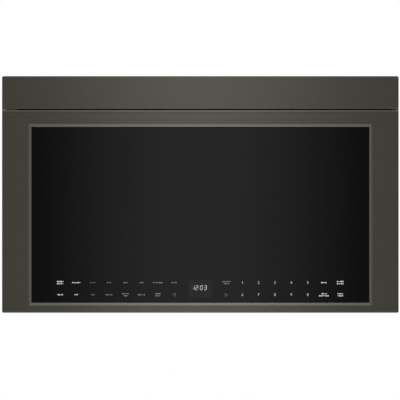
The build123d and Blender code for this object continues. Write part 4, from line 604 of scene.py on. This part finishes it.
# ---------------------------------------------------------------- clock, in mm
WINDOW_X, WINDOW_Z = -0.9, -180.4
WINDOW_WIDE, WINDOW_HIGH, WINDOW_CORNER, WINDOW_STEPS = 44.6, 34.4, 1.2, 5
WINDOW_Y, DIGIT_Y = GLASS_Y - 0.03 * MM, GLASS_Y - 0.08 * MM
DIGIT_LOW, DIGIT_HIGH, DIGIT_WIDE, SLANT = -182.6, 8.1, 4.0, 0.9
BAR_WIDTH, BAR_GAP = 0.72, 0.25
LIT_DIGITS = (("1", -15.35), ("2", -8.5), ("0", 0.53), ("3", 8.18))
COLON_LEFT, COLON_R, COLON_LEVELS, COLON_SIDES = -2.7, 0.45, (0.3, 0.7), 10
UNLIT_BARS, UNLIT_LEFT, UNLIT_WIDTH = "adefg", -16.9, 0.95
DIGIT_BARS = {"0": "abcdef", "1": "bc", "2": "abged", "3": "abgcd"}
BAR_ENDS = {
    "a": ((0, 1), (1, 1)), "b": ((1, 1), (1, 0.5)), "c": ((1, 0.5), (1, 0)), "d": ((0, 0), (1, 0)),
    "e": ((0, 0.5), (0, 0)), "f": ((0, 1), (0, 0.5)), "g": ((0, 0.5), (1, 0.5)),
}

lit = Surface("clock_light", Emission_Color=(0.93, 0.96, 1.0, 1), Emission_Strength=0.62)
lit.colour(lit.tones(lit.noise(900), 0.3, 0.1))
lit.roughness(lit.noise(300), 0.4, 0.5)
smoked = plain_surface(
    "clock_window", (0.0098, 0.0098, 0.0102), rough=0.12, grain=200, vary=0.05, bump=0.01, Specular_IOR_Level=0.3
)

outline = []
for sx, sz, start in ((1, 1, 0), (-1, 1, 90), (-1, -1, 180), (1, -1, 270)):
    x = WINDOW_X + sx * (WINDOW_WIDE / 2 - WINDOW_CORNER)
    z = WINDOW_Z + sz * (WINDOW_HIGH / 2 - WINDOW_CORNER)
    outline += arc(x, z, WINDOW_CORNER, start, start + 90, WINDOW_STEPS)
window = Build()
flat(window, outline, WINDOW_Y)
window.piece("clock_window", smoked, "door")


def clock_spot(left, u, v):
    """A place in a slanted digit, with u and v from 0 to 1."""
    return WINDOW_X + left + DIGIT_WIDE * u + SLANT * v, DIGIT_LOW + DIGIT_HIGH * v


def bar(build, left, key, width):
    """One bar of a digit, pointed at both ends."""
    (x0, z0), (x1, z1) = [clock_spot(left, u, v) for u, v in BAR_ENDS[key]]
    run = math.hypot(x1 - x0, z1 - z0)
    ux, uz = (x1 - x0) / run, (z1 - z0) / run
    half = width / 2
    start, end = BAR_GAP + half, run - BAR_GAP - half
    spots = [(BAR_GAP, 0), (start, half), (end, half), (run - BAR_GAP, 0), (end, -half), (start, -half)]
    flat(build, [(x0 + ux * s - uz * t, z0 + uz * s + ux * t) for s, t in spots], DIGIT_Y)


clock = Build()
for digit, left in LIT_DIGITS:
    for key in DIGIT_BARS[digit]:
        bar(clock, left, key, BAR_WIDTH)
for v in COLON_LEVELS:
    disc(clock, *clock_spot(COLON_LEFT, 0, v), COLON_R, DIGIT_Y, COLON_SIDES)
clock.piece("clock_digits", lit.material, "door")
unlit = Build()
for key in UNLIT_BARS:
    bar(unlit, UNLIT_LEFT, key, UNLIT_WIDTH)
unlit.piece("clock_unlit", ink("clock_unlit", (0.035, 0.035, 0.037)), "door")

# ---------------------------------------------------------------- perforated door screen
HOLE_PITCH, HOLE_R = 5.0 * MM, 1.75 * MM
SCREEN_RIM = 9.0 * MM
# The rim starts this far inside the centres of the last column, and outside those of the last row.
RIM_IN, RIM_OUT = 1.2 * MM, 0.6 * MM

low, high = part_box("door_screen")
mid_x, mid_y, mid_z = [(low[i] + high[i]) / 2 for i in range(3)]
columns = int((high.x - low.x - 2 * SCREEN_RIM) / HOLE_PITCH) - 1
rise = HOLE_PITCH * math.sqrt(3) / 2
rows = int((high.z - low.z - 2 * SCREEN_RIM) / rise) - 1
hexagon = [math.radians(60 * i + 30) for i in range(6)]
screen = Build()
for row in range(rows + 1):
    in_row = columns + row % 2
    for column in range(in_row):
        x = mid_x + (column - (in_row - 1) / 2) * HOLE_PITCH
        z = mid_z + (row - rows / 2) * rise
        radii = (HOLE_PITCH / math.sqrt(3), HOLE_R)
        screen.add([(x + r * math.cos(a), mid_y, z + r * math.sin(a)) for r in radii for a in hexagon], walls(6))
reach_x, reach_z = columns * HOLE_PITCH / 2 - RIM_IN, rows * rise / 2 + RIM_OUT
inside = [(mid_x + sx * reach_x, mid_z + sz * reach_z) for sx, sz in ((-1, -1), (1, -1), (1, 1), (-1, 1))]
outside = [(low.x, low.z), (high.x, low.z), (high.x, high.z), (low.x, high.z)]
for y in (low.y, high.y):
    screen.add([(x, y, z) for x, z in outside + inside], walls(4))
for edge in (outside, inside):
    screen.add([(x, y, z) for y in (low.y, high.y) for x, z in edge], walls(4))
mesh_screen = screen.piece("door_screen_mesh", FINISH["door_enamel"], "door")
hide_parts("door_screen")

# ---------------------------------------------------------------- grease filter mesh
FILTER_RIM = 12.0 * MM
FILTER_BACK_Y, FILTER_FACE_Z = -0.1384, -0.2239
STRAND_STEP, STRAND_PITCH, STRAND_WIDE, STRAND_RISE = 4.5 * MM, 5.2 * MM, 0.55 * MM, 0.35 * MM
STRAND_SWAY = 0.5 * 0.92 * STRAND_PITCH
LAYER_HEIGHTS = (0.6 * MM, 1.7 * MM)


def strand(build, x0, x1, y, z, phase):
    """One folded strip from x0 to x1 that sways to either side by turns."""
    total = int((x1 - x0) / STRAND_STEP)
    corners, faces = [], []
    for i in range(total + 1):
        x = x0 + (x1 - x0) * i / total
        sy = y + (STRAND_SWAY if (i + phase) % 2 else -STRAND_SWAY)
        sz = z + (STRAND_RISE if i % 2 else 0)
        corners += [(x, sy - STRAND_WIDE / 2, sz), (x, sy, sz - STRAND_WIDE), (x, sy + STRAND_WIDE / 2, sz)]
    for a in range(0, 3 * total, 3):
        faces += [[a, a + 3, a + 4, a + 1], [a + 1, a + 4, a + 5, a + 2]]
    build.add(corners, faces)


for side in ("left", "right"):
    low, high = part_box("grease_filter_" + side)
    x0, x1 = low.x + FILTER_RIM, high.x - FILTER_RIM
    y0, y1 = low.y + FILTER_RIM, FILTER_BACK_Y - FILTER_RIM
    count = int((y1 - y0) / STRAND_PITCH) - 1
    lattice = Build()
    for layer, height in enumerate(LAYER_HEIGHTS):
        for i in range(count + 1):
            y = (y0 + y1) / 2 + (i - count / 2) * STRAND_PITCH
            strand(lattice, x0, x1, y, FILTER_FACE_Z + height, i + layer)
    net = lattice.piece("filter_mesh_" + side, FINISH["filter_aluminium"], "filter_" + side)

# ---------------------------------------------------------------- ribbed lamp covers
COVER_HALF_X, COVER_HALF_Y = 38.5 * MM, 15.5 * MM
RIB_PITCH, RIB_HIGH, RIB_BASE = 3.5 * MM, 0.45 * MM, 0.15 * MM

for side in ("left", "right"):
    low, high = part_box("lamp_lens_" + side)
    mid_x, mid_y = (low.x + high.x) / 2, (low.y + high.y) / 2
    count = int(2 * COVER_HALF_X / RIB_PITCH)
    crests = []
    for i in range(count):
        x = mid_x - COVER_HALF_X + 2 * COVER_HALF_X * i / count
        crests += [(x, 0.0), (x + COVER_HALF_X / count, RIB_HIGH)]
    crests.append((mid_x + COVER_HALF_X, 0.0))
    corners = [(x, mid_y + way * COVER_HALF_Y, low.z - RIB_BASE - drop) for x, drop in crests for way in (-1, 1)]
    lens = Build()
    lens.add(corners, [[2 * i, 2 * i + 2, 2 * i + 3, 2 * i + 1] for i in range(len(crests) - 1)])
    ribs = lens.piece("lamp_ribs_" + side, FINISH["lamp_lens"], "case")

# ---------------------------------------------------------------- latch spring
COIL_R, COIL_WIRE, TURNS, TURN_STEPS = 3.0 * MM, 0.4 * MM, 11, 20
HOOK_LONG, HOOK_R, HOOK_STEPS, HOOK_TURN = 3.4 * MM, 1.5 * MM, 11, 1.45

low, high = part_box("latch_spring")
coil_x, coil_y = (low.x + high.x) / 2, (low.y + high.y) / 2
line = []
for i in range(TURNS * TURN_STEPS + 1):
    angle = 2 * math.pi * i / TURN_STEPS
    z = low.z + HOOK_LONG + (high.z - low.z - 2 * HOOK_LONG) * i / (TURNS * TURN_STEPS)
    line.append(Vector((coil_x + COIL_R * math.cos(angle), coil_y + COIL_R * math.sin(angle), z)))


def hook(end, way):
    """The wire's end turned out of the coil into a loop on its axis."""
    spots = []
    for k in range(1, HOOK_STEPS + 1):
        angle = math.pi * (HOOK_TURN * k / HOOK_STEPS - 0.5)
        height = HOOK_R + 0.7 * COIL_WIRE + HOOK_R * math.sin(angle)
        spots.append(Vector((coil_x, coil_y + HOOK_R * math.cos(angle), end + way * height)))
    return spots


def coil_directions(spot, ahead):
    """Across the wire: along the coil's own radius and at a right angle to it."""
    ahead = ahead.normalized()
    outward = Vector((spot.x - coil_x, spot.y - coil_y, 1e-7))
    side = ahead.cross(outward).normalized()
    if side.length < 0.5:
        side = ahead.orthogonal().normalized()
    return side, ahead.cross(side)


line = list(reversed(hook(line[0].z, -1))) + line + hook(line[-1].z, 1)
wire = Build()
tube(wire, line, COIL_WIRE, coil_directions)
coil = wire.piece("latch_spring_coil", FINISH["shaft_steel"], "door", smooth=True)
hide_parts("latch_spring")
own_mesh(coil)

# ---------------------------------------------------------------- screws
screw_metal = brushed_surface("screw_steel", 0.30, rough=0.32, along=0)
dark_screw = plain_surface("screw_black", 0.03, rough=0.35, grain=900, vary=0.1, bump=0.1, Metallic=0.6)

CASE_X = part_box("case_wrap")[1].x
BASE_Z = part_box("base_pan")[0].z
BACK_Y = -1.5 * MM
HEAD_SIDES = 20
HEADS = {  # radius and height
    "large": (3.6 * MM, 1.3 * MM), "back": (3.4 * MM, 1.25 * MM),
    "small": (2.8 * MM, 1.0 * MM), "collar": (2.6 * MM, 1.0 * MM),
}
TURN_RANGE = 3.0
SIDE_SCREWS = ((-0.350, -0.150), (-0.350, 0.150), (-0.020, -0.150), (-0.020, 0.150), (-0.185, -0.214))
BASE_SCREWS = (
    (-0.355, -0.352), (0.355, -0.352), (-0.06, -0.352), (0.06, -0.352), (-0.362, -0.2), (0.362, -0.2),
    (-0.345, -0.02), (0.345, -0.02), (-0.1, -0.02), (0.1, -0.02),
)
BACK_SCREWS = (
    (-0.366, 0.212), (-0.2, 0.217), (0.2, 0.217), (0.366, 0.212), (-0.366, 0.1), (0.366, 0.1),
    (-0.366, -0.05), (0.366, -0.05), (-0.366, -0.2), (0.366, -0.2), (-0.3, -0.218), (0.3, -0.218),
)
HINGE_SCREWS = (("hinge_upper", (0.137, 0.152)), ("hinge_lower", (-0.215, -0.200)))
HINGE_IN, HINGE_Y = 12.5 * MM, -0.3665
COLLAR_X, COLLAR_Y = 134.5 * MM, 49.0 * MM
PANEL_SCREWS = (
    (-0.335, 0.149), (0.010, 0.149), (0.366, 0.149), (-0.335, -0.190), (0.010, -0.190), (0.366, -0.160),
)


def screw(build, place, facing, radius, height, turn):
    """A domed head with a cross recess."""
    arm, wide = 0.55 * radius, 0.16 * radius
    belt_r, belt_z = 0.86 * radius, 0.75 * height
    floor_in, floor_z = 0.45, 0.2 * height
    normal = Vector(facing).normalized()
    right = normal.orthogonal().normalized()
    right.rotate(Matrix.Rotation(turn, 3, normal))
    up = normal.cross(right)
    work = bmesh.new()
    rim, belt = [], []
    for a in around(HEAD_SIDES):
        rim.append(work.verts.new((radius * math.cos(a), radius * math.sin(a), 0)))
        belt.append(work.verts.new((belt_r * math.cos(a), belt_r * math.sin(a), belt_z)))
    edges = []
    for i in range(HEAD_SIDES):
        j = (i + 1) % HEAD_SIDES
        work.faces.new((rim[i], rim[j], belt[j], belt[i]))
        edges.append(work.edges.get((belt[i], belt[j])))
    cross = []
    for x, y in ((arm, -wide), (arm, wide), (wide, wide), (wide, arm), (-wide, arm), (-wide, wide),
                 (-arm, wide), (-arm, -wide), (-wide, -wide), (-wide, -arm), (wide, -arm), (wide, -wide)):
        cross.append(work.verts.new((x, y, height)))
    floor = [work.verts.new((v.co.x * floor_in, v.co.y * floor_in, floor_z)) for v in cross]
    for i in range(len(cross)):
        j = (i + 1) % len(cross)
        work.faces.new((cross[j], cross[i], floor[i], floor[j]))
        edges.append(work.edges.get((cross[i], cross[j])))
    work.faces.new(list(reversed(floor)))
    bmesh.ops.triangle_fill(work, edges=edges, use_beauty=True)
    bmesh.ops.recalc_face_normals(work, faces=work.faces)
    work.verts.index_update()
    where = Vector(place)
    build.add(
        [where + right * v.co.x + up * v.co.y + normal * v.co.z for v in work.verts],
        [[v.index for v in face.verts] for face in work.faces],
    )
    work.free()


def screws(name, finish, body, head, places):
    """A set of screws as one piece, each turned by chance; places are pairs of a spot and the way it faces."""
    build = Build()
    for spot, facing in places:
        screw(build, spot, facing, *HEADS[head], random.random() * TURN_RANGE)
    build.piece(name, finish, body)


side_places = [((way * CASE_X, y, z), (way, 0, 0)) for way in (-1, 1) for y, z in SIDE_SCREWS]
screws("side_screws", dark_screw, "case", "large", side_places)
screws("base_screws", dark_screw, "case", "large", [((x, y, BASE_Z), (0, 0, -1)) for x, y in BASE_SCREWS])
screws("back_screws", screw_metal, "case", "back", [((x, BACK_Y, z), (0, 1, 0)) for x, z in BACK_SCREWS])
hinge_places = []
for name, levels in HINGE_SCREWS:
    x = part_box(name)[0].x + HINGE_IN
    hinge_places += [((x, HINGE_Y, z), (0, -1, 0)) for z in levels]
screws("hinge_screws", screw_metal, "case", "small", hinge_places)
low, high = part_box("exhaust_adapter")
middle = (low + high) / 2
collar_places = []
for sx in (-1, 1):
    for sy in (-1, 1):
        collar_places.append(((middle.x + sx * COLLAR_X, middle.y + sy * COLLAR_Y, high.z), (0, 0, 1)))
screws("collar_screws", screw_metal, "case", "collar", collar_places)
panel_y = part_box("door_inner_panel")[1].y
screws("door_panel_screws", dark_screw, "door", "small", [((x, panel_y, z), (0, 1, 0)) for x, z in PANEL_SCREWS])

# ---------------------------------------------------------------- stops and pins at the two ends of the gap
GAP_LOW, GAP_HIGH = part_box("door_frame")[1].z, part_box("vent_panel")[0].z
CORNER_R, CORNER_CLEAR = 3.0 * MM, 0.04 * MM
STOP_OUTER, STOP_INNER = HALF_WIDTH - 0.02 * MM, HALF_WIDTH - 2.5 * MM
STOP_FRONT, STOP_BACK = FRONT_Y + 3.2 * MM, FRONT_Y + 14.0 * MM
STOP_TURN, STOP_STEPS = 80.0, 8
LIP_UPPER, LIP_LOWER = GAP_LOW + 0.25 * MM, GAP_LOW + 0.08 * MM
PINS = {"left": (-1, 2.6, 374.2, 3.4), "right": (1, 1.0, 375.4, 1.9)}  # side, radius, x and depth in mm
PIN_RINGS = ((0.0, -0.5), (0.0, 1.0), (0.25, 1.35))  # narrower by, and height over the door, in mm
PIN_SIDES = 24


def corner_stop(name, sign, level, way, lip, body):
    """A plastic block in the hollow left by a rounded corner; way is 1 above the gap and -1 below."""
    edge = CORNER_R + CORNER_CLEAR
    outline = [(STOP_OUTER, lip), (STOP_INNER, lip)]
    for k in range(STOP_STEPS):
        a = math.radians(STOP_TURN * (1 - k / STOP_STEPS))
        x = min(STOP_OUTER, HALF_WIDTH - CORNER_R + edge * math.cos(a))
        outline.append((x, level + way * (CORNER_R - edge * math.sin(a))))
    corners = [(sign * x, y, z) for y in (STOP_FRONT, STOP_BACK) for x, z in outline]
    block = Build()
    block.add(corners, walls(len(outline)) + caps(len(outline), len(corners)))
    block.piece(name, FINISH["black_plastic"], body)


for side, (sign, radius, pin_x, pin_y) in PINS.items():
    corner_stop("gap_stop_upper_" + side, sign, GAP_HIGH, 1, LIP_UPPER, "case")
    corner_stop("gap_stop_lower_" + side, sign, GAP_LOW, -1, LIP_LOWER, "door")
    corners = []
    for ease, height in PIN_RINGS:
        for a in around(PIN_SIDES):
            x, y = (radius - ease) * math.cos(a), (radius - ease) * math.sin(a)
            corners.append(((sign * pin_x + x) * MM, FRONT_Y + (pin_y + y) * MM, GAP_LOW + height * MM))
    top = list(range(2 * PIN_SIDES, 3 * PIN_SIDES))
    bottom = list(range(PIN_SIDES - 1, -1, -1))
    pin = Build()
    pin.add(corners, walls(PIN_SIDES, 2) + [top, bottom])
    pin.piece("gap_pin_" + side, FINISH["shaft_steel"], "door")

# ---------------------------------------------------------------- pull rings of the grease filters
PULL_PATH = ((-9, 0), (-9, 4), (-7.5, 7.2), (-4.5, 9), (0, 9.6), (4.5, 9), (7.5, 7.2), (9, 4), (9, 0))  # mm
PULL_IN, PULL_Z, PULL_WIRE = 1.6, -0.2249, 0.75 * MM
STRAP_X, STRAP_HALF, STRAP_START, STRAP_END = 9, 1.8, 0.6, 5.0  # mm
STRAP_TOP, STRAP_BOTTOM, STRAP_EASE = -0.2240, -0.2258, 0.35 * MM


def pull_directions(spot, ahead):
    """Across the wire: level and upright."""
    return ahead.cross(AXIS_Z).normalized(), AXIS_Z


for side in ("left", "right"):
    low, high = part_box("grease_filter_" + side)
    mid_x = (low.x + high.x) / 2
    pull = Build()
    path = [Vector((mid_x + x * MM, low.y + (PULL_IN + y) * MM, PULL_Z)) for x, y in PULL_PATH]
    tube(pull, path, PULL_WIRE, pull_directions)
    y0, y1 = low.y + STRAP_START * MM, low.y + STRAP_END * MM
    for way in (-1, 1):
        x0, x1 = mid_x + (way * STRAP_X - STRAP_HALF) * MM, mid_x + (way * STRAP_X + STRAP_HALF) * MM
        upper = rectangle(x0, x1, y0, y1, STRAP_TOP)
        lower = rectangle(x0 + STRAP_EASE, x1 - STRAP_EASE, y0 + STRAP_EASE, y1 - STRAP_EASE, STRAP_BOTTOM)
        pull.add(upper + lower, walls(4) + [[7, 6, 5, 4], [0, 1, 2, 3]])
    ring_piece = pull.piece("filter_pull_" + side, FINISH["shaft_steel"], "filter_" + side)

# ---------------------------------------------------------------- floor
FLOOR_Z, FLOOR_R, FLOOR_SIDES = -1.5, 8.0, 96
FLOOR_FADE = (2.4, 7.0)


def stage_mesh(name, verts, faces, material):
    """A surface of the studio, which is no part of the object."""
    mesh = bpy.data.meshes.new(name)
    mesh.from_pydata(verts, [], faces)
    mesh.materials.append(material)
    thing = show(name, mesh)
    thing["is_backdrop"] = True
    return thing


ground = Surface("floor", Specular_IOR_Level=0.2)
ground.colour(ground.tones(ground.noise(3), (0.90, 0.90, 0.895), 0.01))
ground.roughness(ground.noise(20), 0.7, 0.8)
distance = ground.node("ShaderNodeVectorMath")
distance.operation = "LENGTH"
ground.link(ground.place, distance.inputs[0])
fade = ground.scaled(distance.outputs["Value"], 0.0, 1.0, *FLOOR_FADE)
below = ground.node("ShaderNodeNewGeometry").outputs["Backfacing"]
see_through = ground.node("ShaderNodeMixShader")
ground.link(ground.maths("MAXIMUM", fade, below), see_through.inputs[0])
ground.link(ground.shader.outputs[0], see_through.inputs[1])
ground.link(ground.node("ShaderNodeBsdfTransparent").outputs[0], see_through.inputs[2])
ground.link(see_through.outputs[0], ground.output.inputs["Surface"])
rim = [(FLOOR_R * math.cos(a), FLOOR_R * math.sin(a), 0) for a in around(FLOOR_SIDES)]
floor = stage_mesh("floor", rim, [list(range(FLOOR_SIDES))], ground.material)
floor.location.z = FLOOR_Z

# ---------------------------------------------------------------- cards that shiny surfaces reflect
CARD_Y, CARD_X, CARD_LOW, CARD_TOP = FRONT_Y - 1.3, 2.2, -1.48, 2.6
FLAG_X, FLAG_FRONT, FLAG_BACK, FLAG_HALF = 2.3, -1.7, 2.5, 0.45
FLAG_LEVELS = {"left": 0.03, "right": 0.22, "top": 0.25}
TOP_FLAG_X, TOP_FLAG_BACK, TOP_FLAG_Z = 0.9, 1.4, 2.62

# Levels and tints of the front card, as pairs of the distance from the middle in metres and a value.
CARD_GAIN = 2.0
ACROSS = (
    (0.0, 0.74), (0.10, 0.72), (0.14, 0.65), (0.186, 0.53), (0.233, 0.46), (0.28, 0.33), (0.326, 0.235),
    (0.372, 0.145), (0.40, 0.14), (0.48, 0.19), (1.0, 0.30), (1.4, 1.15), (2.2, 1.15),
)
UP = ((0.0, 0.50), (0.75, 0.50), (1.10, 1.22), (2.6, 1.22))
FAR_ACROSS = ((0.0, 0.80), (0.12, 0.66), (0.30, 0.22), (0.42, 0.0), (1.0, 0.0), (1.3, 0.36), (2.2, 0.36))
FAR_UP = ((0.0, 0.0), (0.85, 0.0), (1.10, 1.0), (2.6, 1.0))
TINT_ACROSS = ((0.0, 0.0), (0.38, 0.0), (0.46, 0.5), (0.90, 0.5), (1.15, 1.0), (2.2, 1.0))
TINT_UP = ((0.0, 0.0), (0.80, 0.0), (1.05, 1.0), (2.6, 1.0))
WARM, COOL = (0.97, 1.0, 0.82), (0.88, 0.94, 1.0)


def profile(surface, axis, stops):
    """A value that depends on the distance from the middle along one axis."""
    reach = stops[-1][0]
    away = surface.maths("ABSOLUTE", surface.axes()[axis])
    curve = surface.node("ShaderNodeFloatCurve")
    surface.link(surface.scaled(away, 0.0, 1.0, 0.0, reach), curve.inputs["Value"])
    points = curve.mapping.curves[0].points
    while len(points) < len(stops):
        points.new(0.5, 0.5)
    for point, (place, value) in zip(points, stops):
        point.location = (place / reach, value)
        point.handle_type = "VECTOR"
    curve.mapping.use_clip = False
    curve.mapping.update()
    return curve.outputs[0]


def front_level(surface):
    """Bright along the middle, falling away to both sides, and brighter far up and down."""
    near = surface.maths("MULTIPLY", profile(surface, "X", ACROSS), profile(surface, "Z", UP))
    far = surface.maths("MULTIPLY", profile(surface, "X", FAR_ACROSS), profile(surface, "Z", FAR_UP))
    return surface.maths("MULTIPLY_ADD", near, CARD_GAIN, far)


def front_tint(surface):
    """White in the middle, warmer beside it and cooler at the far ends, which the bevels reflect."""
    sideways = surface.ramp(profile(surface, "X", TINT_ACROSS), ((0.0, 1.0), (0.5, WARM), (1.0, COOL)))
    return surface.mixed(sideways, (*COOL, 1), profile(surface, "Z", TINT_UP))


def even(level):
    """A flag: the same dim level all over, but for faint cloth grain."""
    return lambda surface: surface.scaled(surface.noise(4), level * 0.95, level * 1.05)


def card(name, corners, level_of, tint_of=None):
    """A reflector or flag that only shiny surfaces see, as bright as level_of(surface)."""
    surface = Surface(name)
    surface.tree.nodes.remove(surface.shader)
    light = surface.node("ShaderNodeEmission")
    if tint_of:
        surface.link(tint_of(surface), light.inputs["Color"])
    surface.link(level_of(surface), light.inputs["Strength"])
    surface.link(light.outputs[0], surface.output.inputs["Surface"])
    thing = stage_mesh(name, corners, [[0, 1, 2, 3]], surface.material)
    thing.visible_camera = False
    thing.visible_shadow = False
    thing.visible_diffuse = False
    thing.visible_transmission = False


card_edge = ((-CARD_X, CARD_LOW), (CARD_X, CARD_LOW), (CARD_X, CARD_TOP), (-CARD_X, CARD_TOP))
card("front_card", [(x, CARD_Y, z) for x, z in card_edge], front_level, front_tint)
flag_edge = ((FLAG_FRONT, -FLAG_HALF), (FLAG_FRONT, FLAG_HALF), (FLAG_BACK, FLAG_HALF), (FLAG_BACK, -FLAG_HALF))
for side, x in (("left", -FLAG_X), ("right", FLAG_X)):
    card("flag_" + side, [(x, y, z) for y, z in flag_edge], even(FLAG_LEVELS[side]))
top_edge = rectangle(-TOP_FLAG_X, TOP_FLAG_X, FLAG_FRONT, TOP_FLAG_BACK, TOP_FLAG_Z)
card("flag_top", top_edge, even(FLAG_LEVELS["top"]))

# ---------------------------------------------------------------- light and background
LAMP_SIZE, LAMP_POWER = 2.4, 34.0
LAMP_PLACE, LAMP_AIM = (-1.0, -2.2, 2.9), (0, -0.2, 0)
AMBIENT = 0.62
BACKDROP = 1.0

soft_top = bpy.data.lights.new("soft_top", "AREA")
soft_top.shape = "DISK"
soft_top.size = LAMP_SIZE
soft_top.energy = LAMP_POWER
lamp = show("soft_top", soft_top)
lamp.location = LAMP_PLACE
lamp.rotation_euler = (Vector(LAMP_AIM) - Vector(LAMP_PLACE)).to_track_quat("-Z", "Y").to_euler()
lamp.visible_glossy = False

world = bpy.data.worlds.new("studio")
bpy.context.scene.world = world
world.use_nodes = True
nodes, links = world.node_tree.nodes, world.node_tree.links
nodes.clear()
rays = nodes.new("ShaderNodeLightPath").outputs
shown = rays["Is Camera Ray"]
for kind in ("Is Glossy Ray", "Is Transmission Ray"):
    either = nodes.new("ShaderNodeMath")
    either.operation = "MAXIMUM"
    links.new(shown, either.inputs[0])
    links.new(rays[kind], either.inputs[1])
    shown = either.outputs[0]
choose = nodes.new("ShaderNodeMixShader")
links.new(shown, choose.inputs[0])
for i, strength in ((1, AMBIENT), (2, BACKDROP)):
    background = nodes.new("ShaderNodeBackground")
    background.inputs["Color"].default_value = (1, 1, 1, 1)
    background.inputs["Strength"].default_value = strength
    links.new(background.outputs[0], choose.inputs[i])
links.new(choose.outputs[0], nodes.new("ShaderNodeOutputWorld").inputs["Surface"])

bpy.context.scene.view_settings.view_transform = "Standard"

low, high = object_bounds()
